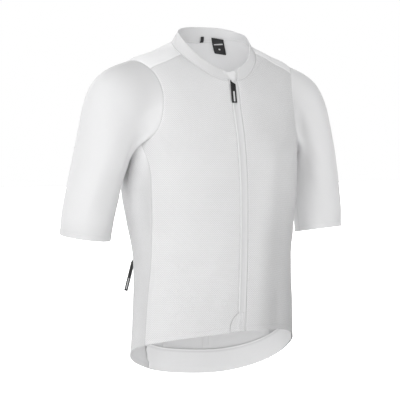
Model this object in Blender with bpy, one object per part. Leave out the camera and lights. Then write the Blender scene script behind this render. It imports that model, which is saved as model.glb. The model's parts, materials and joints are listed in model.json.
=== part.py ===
"""Short-sleeved zip-front cycling jersey, men's medium, filled out as it is when worn, with nobody in it.

Metres, +Z up. The front faces -Y and +X is the wearer's left. The origin is on the centre plane at the
height where the shoulders meet the neck, which is where the wearer holds the garment up.

The cut is made on a body of rings. torso(angle, ring) gives the outer face of the cloth: the angle is
0 at the zip, +90 at the wearer's left side and 180 at the centre back, and the ring number counts down
from the neck seam (0) to below the tail (13). Every seam is a line in those two numbers, every cloth
piece is a grid between its seams, and pieces that are sewn together share the stations of their seam
and stand GAP apart along it.
"""
import math
import bpy
import bmesh
import numpy as np

# ------------------------------------------------------------------ driving sizes
CLOTH = 0.0014            # body and sleeve cloth, as a wall
COLLAR_CLOTH = 0.0019     # doubled cloth of the collar
BAND = 0.0012             # elastic band, pockets, tapes
GAP = 0.0003              # clearance along every seam
EASE = 0.0012             # how far a second layer lies off the cloth behind it
ZIP_HALF = 0.0093         # half width of the covered zip strip
ZIP_PROUD = 0.0004        # how far the strip stands above the fronts
PULL_LENGTH = 0.0430
PULL_THICK = 0.0013
GRIPPER_DEPTH = 0.048     # height of the elastic band inside the back hem
GRIPPER_ENDS = (213.0, 50.0)     # angles between which the band runs round the back
POCKET_FOOT = -0.600      # height of the pockets' bottom seam
NECK_ROLL = 0.050         # the neck seam sits a little higher on the wearer's left
COLLAR_ROLL = 0.031       # and so does the collar's top edge
FADE_RING = 2.6           # ring at which the neckline's own shape has died away

# number of stations along each seam
N_NECK_FRONT, N_NECK_BACK = 8, 12
N_SHOULDER, N_ARM_FRONT, N_ARM_SIDE, N_ARM_BACK = 5, 8, 4, 13
N_SIDE = 12
ARM_YOKE, YOKE_RING = 5, 3.10      # the back's yoke ends at this armhole station and at this ring in the middle

# ------------------------------------------------------------------ tables
RING_COLUMNS = ("z_front", "z_side", "z_back", "half_width", "y_mid", "y_front", "y_back", "square_front", "square_back")
RINGS = [
    ("neck_seam",    -0.074, -0.0040,  0.005, 0.088, 0.000, -0.0660, 0.0590, 2.00, 2.00),
    ("neck_base",    -0.086, -0.0110, -0.008, 0.112, 0.002, -0.0690, 0.0760, 2.05, 2.05),
    ("mid_shoulder", -0.102, -0.0225, -0.034, 0.144, 0.005, -0.0730, 0.0950, 2.10, 2.10),
    ("shoulder_tip", -0.123, -0.0385, -0.065, 0.180, 0.009, -0.0770, 0.1100, 2.20, 2.20),
    ("upper_chest",  -0.148, -0.0780, -0.104, 0.196, 0.010, -0.0830, 0.1200, 2.25, 2.25),
    ("armhole_mid",  -0.180, -0.1350, -0.155, 0.194, 0.012, -0.0900, 0.1260, 2.25, 2.25),
    ("underarm",     -0.226, -0.2050, -0.215, 0.190, 0.014, -0.0965, 0.1290, 2.20, 2.15),
    ("chest",        -0.285, -0.2800, -0.285, 0.186, 0.014, -0.1005, 0.1240, 2.18, 2.10),
    ("ribs",         -0.345, -0.3450, -0.345, 0.177, 0.012, -0.1005, 0.1130, 2.18, 2.05),
    ("waist",        -0.405, -0.4050, -0.405, 0.168, 0.009, -0.0995, 0.1030, 2.20, 2.00),
    ("belly",        -0.470, -0.4700, -0.470, 0.170, 0.006, -0.0965, 0.0960, 2.20, 2.00),
    ("hip",          -0.540, -0.5400, -0.540, 0.1725, 0.005, -0.0930, 0.1005, 2.25, 2.00),
    ("seat",         -0.600, -0.6000, -0.600, 0.176, 0.006, -0.0925, 0.1085, 2.25, 2.00),
    ("tail",         -0.665, -0.6650, -0.665, 0.177, 0.008, -0.0925, 0.1130, 2.25, 2.00),
]
LEVEL_FROM = 7            # rings from here down are level

NECKLINE = [              # angle, height of the collar seam, height of the collar's top edge
    (0,   -0.0740, -0.0550),
    (15,  -0.0715, -0.0510),
    (30,  -0.0619, -0.0420),
    (45,  -0.0477, -0.0305),
    (60,  -0.0335, -0.0155),
    (75,  -0.0201,  0.0000),
    (90,  -0.0077,  0.0135),
    (110,  0.0044,  0.0220),
    (135,  0.0088,  0.0298),
    (160,  0.0069,  0.0338),
    (180,  0.0050,  0.0345),
]
COLLAR_TOP = {"half_width": 0.0763, "y_front": -0.0530, "y_back": 0.0476, "open_half": 0.0205}

HEM = [                   # angle, height on the wearer's right, height on the left (the tail hangs a little to the left)
    (0,   -0.545,  -0.545),
    (40,  -0.552,  -0.551),
    (75,  -0.566,  -0.5825),
    (95,  -0.578,  -0.6055),
    (115, -0.5975, -0.628),
    (135, -0.617,  -0.645),
    (155, -0.6355, -0.653),
    (180, -0.649,  -0.649),
]
ARMHOLE = [               # point on the loop, angle, ring; evenly spaced round the sleeve, front first
    ("tip",          92, 3.00),
    ("front_high",   64, 2.93),
    ("front_mid",  48.5, 3.60),
    ("front_low",  48.5, 4.65),
    ("front_under",  60, 5.60),
    ("underarm",     90, 6.06),
    ("back_under",  114, 5.75),
    ("back_low",    129, 4.90),
    ("back_mid",    129, 3.85),
    ("back_high",   113, 3.10),
]
PHI_SHOULDER, PHI_FRONT, PHI_BACK = 38.0, 155.0, 210.0    # where the other seams meet the armhole
SHOULDER_SEAM = [         # share of the way from the neck, angle, ring
    (0.00, 74.0, 0.00),
    (0.22, 68.5, 0.62),
    (0.45, 64.5, 1.30),
    (0.68, 62.5, 1.95),
]
SIDE_SEAMS = [            # ring, angle of the seam to the front, angle of the seam to the back
    (6.20, 63.0, 116.0),
    (6.80, 61.3, 118.5),
    (7.70, 63.4, 119.0),
    (8.75, 68.6, 117.5),
    (9.90, 72.4, 115.5),
    (11.0, 74.5, 113.5),
    (12.2, 74.5, 112.0),
]
SLEEVE_COLUMNS = ("z", "x_mid", "y_mid", "half_side", "half_depth", "rise_outside", "drop_front")
SLEEVE = [                # share of the way from biceps to cuff, then the columns above
    (0.0, -0.225, 0.2420, 0.0130, 0.0485, 0.0600, 0.0137, 0.004),
    (0.5, -0.296, 0.2613, 0.0170, 0.0492, 0.0510, 0.0025, 0.004),
    (1.0, -0.360, 0.2716, 0.0211, 0.0455, 0.0502, 0.0060, 0.005),
]
CUFF_LIE = {1: -0.0053, -1: -0.0037}     # how far the left and right cuffs hang above or below the mean
CUFF_TILT = {1: -0.003, -1: -0.002}     # how much higher each lies on the outside
CUFF_DROP = {1: -0.0112, -1: 0.0}     # and how much lower in front
SLEEVE_CAP = 0.40                      # share of the sleeve above the biceps ring
SLEEVE_START = {"top": (0.968, 0.0, -0.249), "under": (0.70, 0.0, -0.71)}
SLEEVE_PULL = {"top": 0.336, "side": 0.13, "under": 0.045}
SLEEVE_PUSH = {"top": 0.31, "side": 0.12, "under": 0.050}
SLEEVE_ROWS = (0.0, 0.035, 0.09, 0.15, 0.22, 0.30, 0.40, 0.52, 0.64, 0.76, 0.88, 1.0)

POCKET_TOP = [            # angle, height of the pockets' open top edge
    (121, -0.4020),
    (150, -0.3960),
    (180, -0.3920),
]

# ------------------------------------------------------------------ splines and small vector helpers
def natural_spline(xs, ys):
    """Natural cubic spline through the points; ys may hold several columns."""
    xs, ys = np.asarray(xs, float), np.asarray(ys, float)
    if ys.ndim == 1:
        ys = ys[:, None]
    n, h = len(xs), np.diff(xs)
    a, b = np.zeros((n, n)), np.zeros((n, ys.shape[1]))
    a[0, 0] = a[-1, -1] = 1
    for i in range(1, n - 1):
        a[i, i-1], a[i, i], a[i, i+1] = h[i-1], 2*(h[i-1] + h[i]), h[i]
        b[i] = 6*((ys[i+1] - ys[i])/h[i] - (ys[i] - ys[i-1])/h[i-1])
    m = np.linalg.solve(a, b)

    def at(x):
        x = np.asarray(x, float)
        shape, x = x.shape, x.ravel()
        i = np.clip(np.searchsorted(xs, x) - 1, 0, n - 2)
        d, hh = (x - xs[i])[:, None], h[i][:, None]
        e = hh - d
        out = ((m[i]*e**3 + m[i+1]*d**3)/(6*hh) + (ys[i]/hh - m[i]*hh/6)*e + (ys[i+1]/hh - m[i+1]*hh/6)*d)
        return out.reshape(shape + (ys.shape[1],))
    return at


def closed_spline(ys, period):
    """Closed cubic spline through evenly spaced rows."""
    ys = np.asarray(ys, float)
    n = len(ys)
    a, b = np.zeros((n, n)), np.zeros_like(ys)
    for i in range(n):
        a[i, i-1] += 1
        a[i, i] += 4
        a[i, (i+1) % n] += 1
        b[i] = 6*(ys[(i+1) % n] - 2*ys[i] + ys[i-1])
    m = np.linalg.solve(a, b)

    def at(u):
        u = (np.asarray(u, float)/period % 1.0)*n
        shape, u = u.shape, u.ravel()
        i = np.floor(u).astype(int) % n
        d = (u - np.floor(u))[:, None]
        e, j = 1 - d, (i + 1) % n
        out = (m[i]*e**3 + m[j]*d**3)/6 + (ys[i] - m[i]/6)*e + (ys[j] - m[j]/6)*d
        return out.reshape(shape + (ys.shape[1],))
    return at


def unit(v):
    return v/np.linalg.norm(v, axis=-1, keepdims=True)


def wrap(angle):
    return (np.asarray(angle, float) + 180) % 360 - 180


# ------------------------------------------------------------------ the body the cloth is cut to
ring_at = natural_spline(range(len(RINGS)), [r[1:] for r in RINGS])
neck_at = natural_spline([-r[0] for r in NECKLINE[:0:-1]] + [r[0] for r in NECKLINE],
                         [r[1:] for r in NECKLINE[:0:-1]] + [r[1:] for r in NECKLINE])
arm_at = closed_spline([r[1:] for r in ARMHOLE], 360.0)
sleeve_at = natural_spline([r[0] for r in SLEEVE], [r[1:] for r in SLEEVE])


def torso(angle, ring):
    """Outer face of the cloth."""
    angle, ring = np.broadcast_arrays(np.asarray(angle, float), np.asarray(ring, float))
    p = ring_at(ring)
    zf, zs, zb, a, ym, yf, yb, nf, nb = [p[..., i] for i in range(9)]
    s, c = np.sin(np.radians(angle)), np.cos(np.radians(angle))
    n = np.where(c > 0, nf, nb)
    r = (np.abs(s)**n + np.abs(c)**n)**(-1/n)
    front, back = np.maximum(c, 0), np.maximum(-c, 0)
    x = a*r*s
    y = ym + (yf - ym)*r*front + (yb - ym)*r*back
    z = zs + (zf - zs)*front**2 + (zb - zs)*back**2
    f0, s0, b0 = RINGS[0][1:4]
    plain = s0 + (f0 - s0)*front**2 + (b0 - s0)*back**2
    z = z + (neck_at(wrap(angle))[..., 0] - plain + NECK_ROLL*x)*np.clip(1 - ring/FADE_RING, 0, 1)**2
    return np.stack([x, y, z], -1)


def torso_normal(angle, ring):
    du = torso(np.asarray(angle) + 0.1, ring) - torso(np.asarray(angle) - 0.1, ring)
    dv = torso(angle, np.asarray(ring) + 1e-3) - torso(angle, np.asarray(ring) - 1e-3)
    return unit(np.cross(dv, du))


def angle_of_x(x, ring):
    """Angle near the zip at which the cloth is x from the centre plane."""
    return np.degrees(np.arcsin(np.asarray(x)/ring_at(ring)[..., 3]))


def ring_of_height(z):
    """Ring number at a height, on the level rings."""
    z = np.asarray(z, float)
    low, high = np.full(z.shape, float(LEVEL_FROM)), np.full(z.shape, len(RINGS) - 1.0)
    for _ in range(40):
        mid = (low + high)/2
        above = ring_at(mid)[..., 1] > z
        low, high = np.where(above, mid, low), np.where(above, high, mid)
    return (low + high)/2


_hem_angle = [-r[0] for r in HEM[:0:-1]] + [r[0] for r in HEM]
_hem_height = [r[1] for r in HEM[:0:-1]] + [r[2] for r in HEM]
hem_at = natural_spline([a - 360 for a in _hem_angle[-4:-1]] + _hem_angle + [a + 360 for a in _hem_angle[1:4]],
                        _hem_height[-4:-1] + _hem_height + _hem_height[1:4])


def hem_ring(angle, raised=0.0):
    return ring_of_height(hem_at(wrap(angle))[..., 0] + raised)


def collar_point(angle, up):
    """Collar's outer face: up is 0 at the neck seam and 1 at the top edge, whose ends stand open at the front."""
    angle, up = np.broadcast_arrays(np.asarray(angle, float), np.asarray(up, float))
    seam = torso(angle, 0*angle)
    start = float(angle_of_x(ZIP_HALF, 0.0))
    top_start = math.degrees(math.asin(COLLAR_TOP["open_half"]/COLLAR_TOP["half_width"]))
    a = wrap(angle)
    top = np.sign(a)*(top_start + (np.abs(a) - start)*(180 - top_start)/(180 - start))
    top = np.where(np.abs(a) < start, a*top_start/start, top)
    s, c = np.sin(np.radians(top)), np.cos(np.radians(top))
    x = COLLAR_TOP["half_width"]*s
    y = np.where(c > 0, COLLAR_TOP["y_front"]*c, -COLLAR_TOP["y_back"]*c)
    z = neck_at(top)[..., 1] + COLLAR_ROLL*x
    return seam + (np.stack([x, y, z], -1) - seam)*up[..., None]


def tube(phi, along, side):
    """Lower sleeve, wearer's left: phi is 0 outside, 90 in front, 180 inside."""
    phi, along = np.broadcast_arrays(np.asarray(phi, float), np.asarray(along, float))
    p = sleeve_at(along)
    z, x, y, hs, hd, rise, drop = [p[..., i] for i in range(7)]
    c, s = np.cos(np.radians(phi)), np.sin(np.radians(phi))
    return np.stack([x + hs*c, y - hd*s, z + (rise + CUFF_TILT[side]*along)*c - (drop + CUFF_DROP[side]*along)*s + CUFF_LIE[side]*along], -1)


def mirror(p, side):
    return p*np.array([side, 1.0, 1.0])


def sleeve_start(phi, side):
    """At the armhole: the point, the seam's tangent, the cloth's normal there and the way the sleeve leaves it, as on the left."""
    def seam(q):
        a, t = arm_at(q)[..., 0], arm_at(q)[..., 1]
        return a, t, mirror(torso(side*a, t), side)
    a, t, p = seam(phi)
    tangent = unit(seam(np.asarray(phi) + 0.5)[2] - seam(np.asarray(phi) - 0.5)[2])
    normal = mirror(torso_normal(side*a, t), side)
    out = unit(np.cross(tangent, normal))
    out = out*np.where(out[..., :1] < 0, -1, 1)
    c = np.cos(np.radians(phi))
    top, under = np.maximum(c, 0)**1.5, np.maximum(-c, 0)**1.2
    level = np.clip(1 - top - under, 0, 1)
    way = unit(out*level[..., None] + top[..., None]*np.array(SLEEVE_START["top"])
               + under[..., None]*np.array(SLEEVE_START["under"]))
    return p, tangent, normal, way, (top, level, under)


def sleeve_point(phi, along, side):
    """Whole sleeve, as on the wearer's left: along is 0 at the armhole seam and 1 at the cuff."""
    phi, along = np.broadcast_arrays(np.asarray(phi, float), np.asarray(along, float))
    p0, _, _, way, (top, level, under) = sleeve_start(phi, side)
    pull = (SLEEVE_PULL["top"]*top + SLEEVE_PULL["side"]*level + SLEEVE_PULL["under"]*under)[..., None]
    push = (SLEEVE_PUSH["top"]*top + SLEEVE_PUSH["side"]*level + SLEEVE_PUSH["under"]*under)[..., None]
    p1 = tube(phi, 0*along, side)
    down = unit(tube(phi, 0*along + 0.02, side) - p1)
    u = np.clip(along/SLEEVE_CAP, 0, 1)[..., None]
    cap = ((2*u**3 - 3*u**2 + 1)*p0 + (u**3 - 2*u**2 + u)*way*pull + (3*u**2 - 2*u**3)*p1 + (u**3 - u**2)*down*push)
    low = tube(phi, np.clip((along - SLEEVE_CAP)/(1 - SLEEVE_CAP), 0, 1), side)
    return np.where((along < SLEEVE_CAP)[..., None], cap, low)


def grid_normals(grid, closed=False):
    """Unit normals of a grid of points, facing away from columns crossed with rows."""
    if closed:
        du = np.roll(grid, -1, 1) - np.roll(grid, 1, 1)
    else:
        du = np.gradient(grid, axis=1)
    return unit(np.cross(np.gradient(grid, axis=0), du))


# ------------------------------------------------------------------ seams, as stations of (angle, ring)
def line(a, b, n):
    return a + (b - a)*np.linspace(0, 1, n + 1)


def arm_stations(start, end, n):
    phi = line(start, end, n)
    return phi, arm_at(phi)


PHI_ARM_FRONT, ARM_FRONT = arm_stations(PHI_SHOULDER, PHI_FRONT, N_ARM_FRONT)
PHI_ARM_SIDE, ARM_SIDE = arm_stations(PHI_FRONT, PHI_BACK, N_ARM_SIDE)
PHI_ARM_BACK, ARM_BACK = arm_stations(PHI_BACK, 360 + PHI_SHOULDER, N_ARM_BACK)

_shoulder = natural_spline([r[0] for r in SHOULDER_SEAM] + [1.0], [r[1:] for r in SHOULDER_SEAM] + [tuple(ARM_FRONT[0])])
SHOULDER = _shoulder(line(0.0, 1.0, N_SHOULDER))


def side_seam(column, start):
    """Side seam from its start on the armhole down to the hem."""
    rows = [(start[1], start[0])] + [(r[0], r[column]) for r in SIDE_SEAMS]
    angle_at = natural_spline([r[0] for r in rows], [r[1] for r in rows])
    end = start[1]
    for _ in range(30):
        end = float(0.5*(hem_ring(angle_at(end)[..., 0]) + hem_ring(-angle_at(end)[..., 0])))
    rings = line(start[1], end, N_SIDE)
    return np.stack([angle_at(rings)[..., 0], rings], -1)


SEAM_FRONT = side_seam(1, ARM_FRONT[-1])
SEAM_BACK = side_seam(2, ARM_SIDE[-1])
NECK_FRONT = line(float(angle_of_x(ZIP_HALF, 0.0)), SHOULDER[0, 0], N_NECK_FRONT)
NECK_BACK = line(180.0, SHOULDER[0, 0], N_NECK_BACK)


def to_hem(stations, side):
    """The same seam with its foot on the hem of that side: the rings below the armhole are stretched to reach it."""
    out = stations.copy()
    foot = float(hem_ring(side*out[-1, 0]))
    k = (out[:, 1] - out[0, 1])/(out[-1, 1] - out[0, 1])
    out[:, 1] += k**2*(foot - out[-1, 1])
    return out


def coons(top, bottom, left, right):
    """Grid of stations between four seams: rows run down, columns run from left to right."""
    v, u = np.linspace(0, 1, len(left))[:, None, None], np.linspace(0, 1, len(top))[None, :, None]
    return ((1 - v)*top[None] + v*bottom[None] + (1 - u)*left[:, None] + u*right[:, None]
            - (1 - u)*(1 - v)*top[0] - u*(1 - v)*top[-1] - (1 - u)*v*bottom[0] - u*v*bottom[-1])


# ------------------------------------------------------------------ solids
def material(name, rgb, roughness, metallic=0.0):
    m = bpy.data.materials.get(name)
    if m is None:
        m = bpy.data.materials.new(name)
        m.use_nodes = True
        b = m.node_tree.nodes["Principled BSDF"]
        b.inputs["Base Color"].default_value = (*rgb, 1.0)
        b.inputs["Roughness"].default_value = roughness
        b.inputs["Metallic"].default_value = metallic
        m.diffuse_color = (*rgb, 1.0)
    return m


FINISHES = {
    "mesh_cloth": ((0.78, 0.78, 0.79), 0.75),
    "stretch_cloth": ((0.86, 0.86, 0.87), 0.65),
    "side_cloth": ((0.72, 0.72, 0.73), 0.75),
    "elastic": ((0.70, 0.70, 0.71), 0.80),
    "black_tape": ((0.015, 0.015, 0.016), 0.55),
    "white_moulding": ((0.80, 0.80, 0.80), 0.40),
}


def to_object(name, bm, finish, origin=(0, 0, 0)):
    """Make the object, facing outward, with its origin where it turns or at the garment's own."""
    if bm.calc_volume(signed=True) < 0:
        bmesh.ops.reverse_faces(bm, faces=bm.faces)
    bmesh.ops.translate(bm, verts=bm.verts, vec=[-c for c in origin])
    mesh = bpy.data.meshes.new(name)
    bm.to_mesh(mesh)
    bm.free()
    mesh.materials.append(material(finish, *FINISHES[finish]))
    mesh.shade_smooth()
    mesh.set_sharp_from_angle(angle=math.radians(50))
    obj = bpy.data.objects.new(name, mesh)
    obj.location = origin
    bpy.context.collection.objects.link(obj)
    obj.parent = JERSEY
    return obj


def shell(name, outer, normals, quads, thickness, finish):
    """Closed solid of one cloth piece: its outer face, its inner face a thickness behind, and its cut edges."""
    bm = bmesh.new()
    a, b = [[bm.verts.new(tuple(p)) for p in layer] for layer in (outer, outer - normals*thickness)]
    sides = {}
    for q in quads:
        bm.faces.new([a[i] for i in q])
        bm.faces.new([b[i] for i in q[::-1]])
        for i, j in zip(q, q[1:] + q[:1]):
            key = (min(i, j), max(i, j))
            sides[key] = None if key in sides else (i, j)
    for edge in sides.values():
        if edge is not None:
            i, j = edge
            bm.faces.new((a[j], a[i], b[i], b[j]))
    bmesh.ops.recalc_face_normals(bm, faces=bm.faces)
    return to_object(name, bm, finish)


def cloth(name, outer, normals, thickness, finish, closed=False):
    """The same from a grid of points; a closed grid runs round and meets itself."""
    rows, cols = outer.shape[:2]
    last = cols if closed else cols - 1
    quads = [(i*cols + j, (i + 1)*cols + j, (i + 1)*cols + (j + 1) % cols, i*cols + (j + 1) % cols)
             for i in range(rows - 1) for j in range(last)]
    return shell(name, outer.reshape(-1, 3), normals.reshape(-1, 3), quads, thickness, finish)


def weld(blocks):
    """Stations, quads and a look-up of stations, from grids of stations that share their edges."""
    index, stations, quads = {}, [], []
    for grid in blocks:
        ids = []
        for row in grid:
            ids.append([])
            for angle, ring in row:
                key = station_key(angle, ring)
                if key not in index:
                    index[key] = len(stations)
                    stations.append((float(angle) % 360, float(ring)))
                ids[-1].append(index[key])
        for i in range(len(ids) - 1):
            for j in range(len(ids[0]) - 1):
                q = (ids[i][j], ids[i+1][j], ids[i+1][j+1], ids[i][j+1])
                quads.append(q if (grid[0][-1][0] - grid[0][0][0]) < 0 else q[::-1])
    return np.array(stations), quads, index


def station_key(angle, ring):
    return round(float(angle) % 360, 3), round(float(ring), 4)


def draw_back(grid, normals, edge, amount=GAP/2):
    """Move one edge of a grid into its own piece, square to the seam, so that its neighbour has room."""
    take = {"top": (0, slice(None)), "bottom": (-1, slice(None)), "left": (slice(None), 0), "right": (slice(None), -1)}[edge]
    inner = {"top": (1, slice(None)), "bottom": (-2, slice(None)), "left": (slice(None), 1), "right": (slice(None), -2)}[edge]
    line_, next_ = grid[take], grid[inner]
    way = unit(np.cross(normals[take], np.gradient(line_, axis=0)))
    way = way*np.sign(((next_ - line_)*way).sum(-1, keepdims=True))
    return take, way*amount


def seam_normal(first, second):
    return unit(first + second)


def arm_normal(phi, side):
    """Shared normal at the armhole, between the body's and the sleeve's."""
    _, tangent, normal, way, _ = sleeve_start(phi, side)
    own = unit(np.cross(tangent, way))
    own = own*np.where((own*normal).sum(-1, keepdims=True) < -0.9, -1, 1)
    # the sleeve's own outward side is away from its axis
    centre = np.array([0.215, 0.02, -0.125])
    p = sleeve_start(phi, side)[0] + way*0.01
    own = own*np.where(((p - centre)*own).sum(-1, keepdims=True) < 0, -1, 1)
    return mirror(seam_normal(normal, own), side)


def neck_normal(angle):
    """Shared normal at the neck seam, between the body's and the collar's."""
    du = collar_point(np.asarray(angle) + 0.1, 0.0) - collar_point(np.asarray(angle) - 0.1, 0.0)
    up = collar_point(angle, 0.5) - collar_point(angle, 0.0)
    own = unit(np.cross(du, up))
    body = torso_normal(angle, 0*np.asarray(angle, float))
    own = own*np.where((own*body).sum(-1, keepdims=True) < 0, -1, 1)
    return seam_normal(body, own)


def panel(name, stations, side, finish, drawn, arm=(), neck=(), thickness=CLOTH, raised=0.0):
    """Cloth piece on the body. drawn lists the sewn edges; arm and neck give the shared normals along parts of an edge."""
    angle, ring = side*stations[..., 0], stations[..., 1]
    outer, normals = torso(angle, ring), torso_normal(angle, ring)
    for where, phi in arm:
        normals[where] = arm_normal(phi, side)
    for where, at in neck:
        normals[where] = neck_normal(side*at)
    shift = np.zeros_like(outer)
    for edge in drawn:
        take, move = draw_back(outer, normals, edge)
        shift[take] += move
    return cloth(name, outer + shift + normals*raised, normals, thickness, finish)


# ------------------------------------------------------------------ cloth pieces
def front(side):
    right = np.concatenate([SHOULDER, ARM_FRONT[1:], to_hem(SEAM_FRONT, side)[1:]])
    rows = len(right)
    ring = right[:, 1].copy()
    below = np.clip((ring - SEAM_FRONT[0, 1])/(ring[-1] - SEAM_FRONT[0, 1]), 0, 1)**2
    ring += below*(float(hem_ring(side*1.0)) - ring[-1])
    centre = np.stack([angle_of_x(ZIP_HALF, ring), ring], -1)
    share = (NECK_FRONT - NECK_FRONT[0])/(NECK_FRONT[-1] - NECK_FRONT[0])
    grid = centre[:, None]*(1 - share[None, :, None]) + right[:, None]*share[None, :, None]
    grid[0, :, 1] = 0.0
    hem = hem_ring(side*grid[-1, :, 0])
    grid[..., 1] += below[:, None]*(hem - grid[-1, :, 1])[None]
    arm_rows = np.arange(N_SHOULDER, N_SHOULDER + N_ARM_FRONT + 1)
    name = {1: "front_left", -1: "front_right"}[side]
    panel(name, grid, side, "mesh_cloth", ("top", "left", "right"),
          arm=[((arm_rows, -1), PHI_ARM_FRONT)], neck=[((0, slice(None)), NECK_FRONT)])
    return grid[:, 0]


def side_panel(side):
    left, right = to_hem(SEAM_FRONT, side), to_hem(SEAM_BACK, side)
    hem_angle = line(left[-1, 0], right[-1, 0], N_ARM_SIDE)
    bottom = np.stack([hem_angle, hem_ring(side*hem_angle)], -1)
    grid = coons(ARM_SIDE, bottom, left, right)
    panel({1: "side_left", -1: "side_right"}[side], grid, side, "side_cloth", ("top", "left", "right"),
          arm=[((0, slice(None)), PHI_ARM_SIDE)])


def back():
    """Yoke and body of the back in one piece: the yoke runs to the armhole's top, the body hangs from there."""
    blocks, seams = [], []
    for side in (1, -1):
        arm = ARM_BACK[::-1]
        neck = np.stack([NECK_BACK, 0*NECK_BACK], -1)
        across = line(180.0, arm[ARM_YOKE, 0], N_NECK_BACK - ARM_YOKE)
        fold = np.stack([across, line(YOKE_RING, arm[ARM_YOKE, 1], N_NECK_BACK - ARM_YOKE)], -1)
        middle = np.stack([np.full(N_SHOULDER + 1, 180.0), line(0.0, YOKE_RING, N_SHOULDER)], -1)
        yoke = coons(neck, np.concatenate([fold, arm[ARM_YOKE-1::-1]]), middle, SHOULDER)
        seam = to_hem(SEAM_BACK, side)
        right = np.concatenate([arm[ARM_YOKE:], seam[1:]])
        level = np.concatenate([line(YOKE_RING, 6.0, N_ARM_BACK - ARM_YOKE), line(6.0, float(hem_ring(180.0)), N_SIDE)[1:]])
        left = np.stack([np.full(len(level), 180.0), level], -1)
        hem_angle = line(180.0, right[-1, 0], len(fold) - 1)
        body = coons(fold, np.stack([hem_angle, hem_ring(side*hem_angle)], -1), left, right)
        turn = np.array([side, 1.0])
        blocks += [yoke*turn, body*turn]
        seams += [(neck*turn, "neck"), (SHOULDER*turn, ""), (np.concatenate([arm, seam[1:]])*turn, "arm")]
    stations, quads, index = weld(blocks)
    outer, normals = torso(stations[:, 0], stations[:, 1]), torso_normal(stations[:, 0], stations[:, 1])
    at = [np.array([index[station_key(*s)] for s in run]) for run, _ in seams]
    arm_top_first = PHI_ARM_BACK[::-1]
    for k, side in ((2, 1), (5, -1)):
        normals[at[k][:N_ARM_BACK + 1]] = arm_normal(arm_top_first, side)
    for k, side in ((0, 1), (3, -1)):
        normals[at[k]] = neck_normal(side*NECK_BACK)
    inward = np.zeros_like(outer)
    for q in quads:
        inward[list(q)] += outer[list(q)].mean(0) - outer[list(q)]
    shift = np.zeros_like(outer)
    for run in (np.concatenate([at[0][::-1], at[3][1:]]), at[1], at[4], at[2], at[5]):
        way = unit(np.cross(normals[run], np.gradient(outer[run], axis=0)))
        shift[run] += way*np.sign((inward[run]*way).sum(-1, keepdims=True))*GAP/2
    shell("back", outer + shift, normals, quads, CLOTH, "stretch_cloth")


def sleeve(side):
    phi = np.concatenate([PHI_ARM_FRONT, PHI_ARM_SIDE[1:], PHI_ARM_BACK[1:-1]])
    along = np.array(SLEEVE_ROWS)
    grid = mirror(sleeve_point(phi[None, :], along[:, None], side), side)
    step = np.where(along < 0.5, 1e-3, -1e-3)[:, None]
    down = (mirror(sleeve_point(phi[None, :], along[:, None] + step, side), side) - grid)*np.sign(step)[..., None]
    turn = mirror(sleeve_point(phi[None, :] + 0.2, along[:, None], side), side) - grid
    normals = unit(np.cross(down, turn))
    if ((grid[-1] - grid[-1].mean(0))*normals[-1]).sum() < 0:
        normals = -normals
    normals[0] = arm_normal(phi, side)
    seam = grid[0]
    tangent = np.roll(seam, -1, 0) - np.roll(seam, 1, 0)
    way = unit(np.cross(normals[0], tangent))
    way = way*np.sign(((grid[2] - seam)*way).sum(-1, keepdims=True))
    grid[0] = seam + way*GAP/2
    cloth({1: "sleeve_left", -1: "sleeve_right"}[side], grid, normals, CLOTH, "stretch_cloth", closed=True)


def collar():
    angle = np.concatenate([NECK_FRONT, NECK_BACK[::-1][1:], 360 - NECK_BACK[1:], 360 - NECK_FRONT[::-1][1:]])
    rows = []
    for up in (1.0, 0.5, 0.0):
        rows.append(collar_point(angle, np.full(len(angle), up)))
    grid = np.stack(rows)
    normals = -grid_normals(grid)
    if (normals[:, :, 2]).mean() > 0 and (normals[1, 0, 1] > 0):
        normals = -normals
    outward = grid - np.array([0, 0, 0])
    outward[..., 2] = 0
    normals = normals*np.sign((normals*outward).sum(-1, keepdims=True))
    normals[-1] = neck_normal(angle)
    shift = np.zeros_like(grid)
    take, move = draw_back(grid, normals, "bottom")
    shift[take] += move
    cloth("collar", grid + shift, normals, COLLAR_CLOTH, "stretch_cloth")


def zip_strip(rings):
    """Covered zip between the fronts, on the fronts' own stations."""
    x = line(-ZIP_HALF, ZIP_HALF, 2)
    angle = angle_of_x(x[None, :], rings[:, None])
    ring = np.repeat(rings[:, None], 3, 1)
    outer, normals = torso(angle, ring), torso_normal(angle, ring)
    normals[0] = neck_normal(angle[0])
    shift = np.zeros_like(outer)
    for edge in ("left", "right"):
        take, move = draw_back(outer, normals, edge)
        shift[take] += move
    cloth("zip_strip", outer + shift + normals*ZIP_PROUD, normals, CLOTH + ZIP_PROUD, "white_moulding")


def zip_guard():
    """Soft flap behind the top of the zip, showing in the open collar."""
    x = line(-0.0135, 0.0135, 3)
    rows, normals = [], []
    back_off = COLLAR_CLOTH + GAP
    for up in (0.93, 0.62, 0.30):
        a = angle_of_x(x, 0.0)
        seam, top = torso(a, 0*a), collar_point(a, 0*a + 1.0)
        p = seam + (top - seam)*up
        p[:, 0] = x
        n = np.repeat(unit(np.array([[0.0, -0.82, 0.57]])), len(x), 0)
        rows.append(p - n*back_off)
        normals.append(n)
    for ring in (0.25, 1.0, 2.0, 2.9):
        a = angle_of_x(x, ring)
        n = torso_normal(a, ring + 0*a)
        rows.append(torso(a, ring + 0*a) - n*back_off)
        normals.append(n)
    cloth("zip_guard", np.stack(rows), np.stack(normals), BAND, "stretch_cloth")


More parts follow.
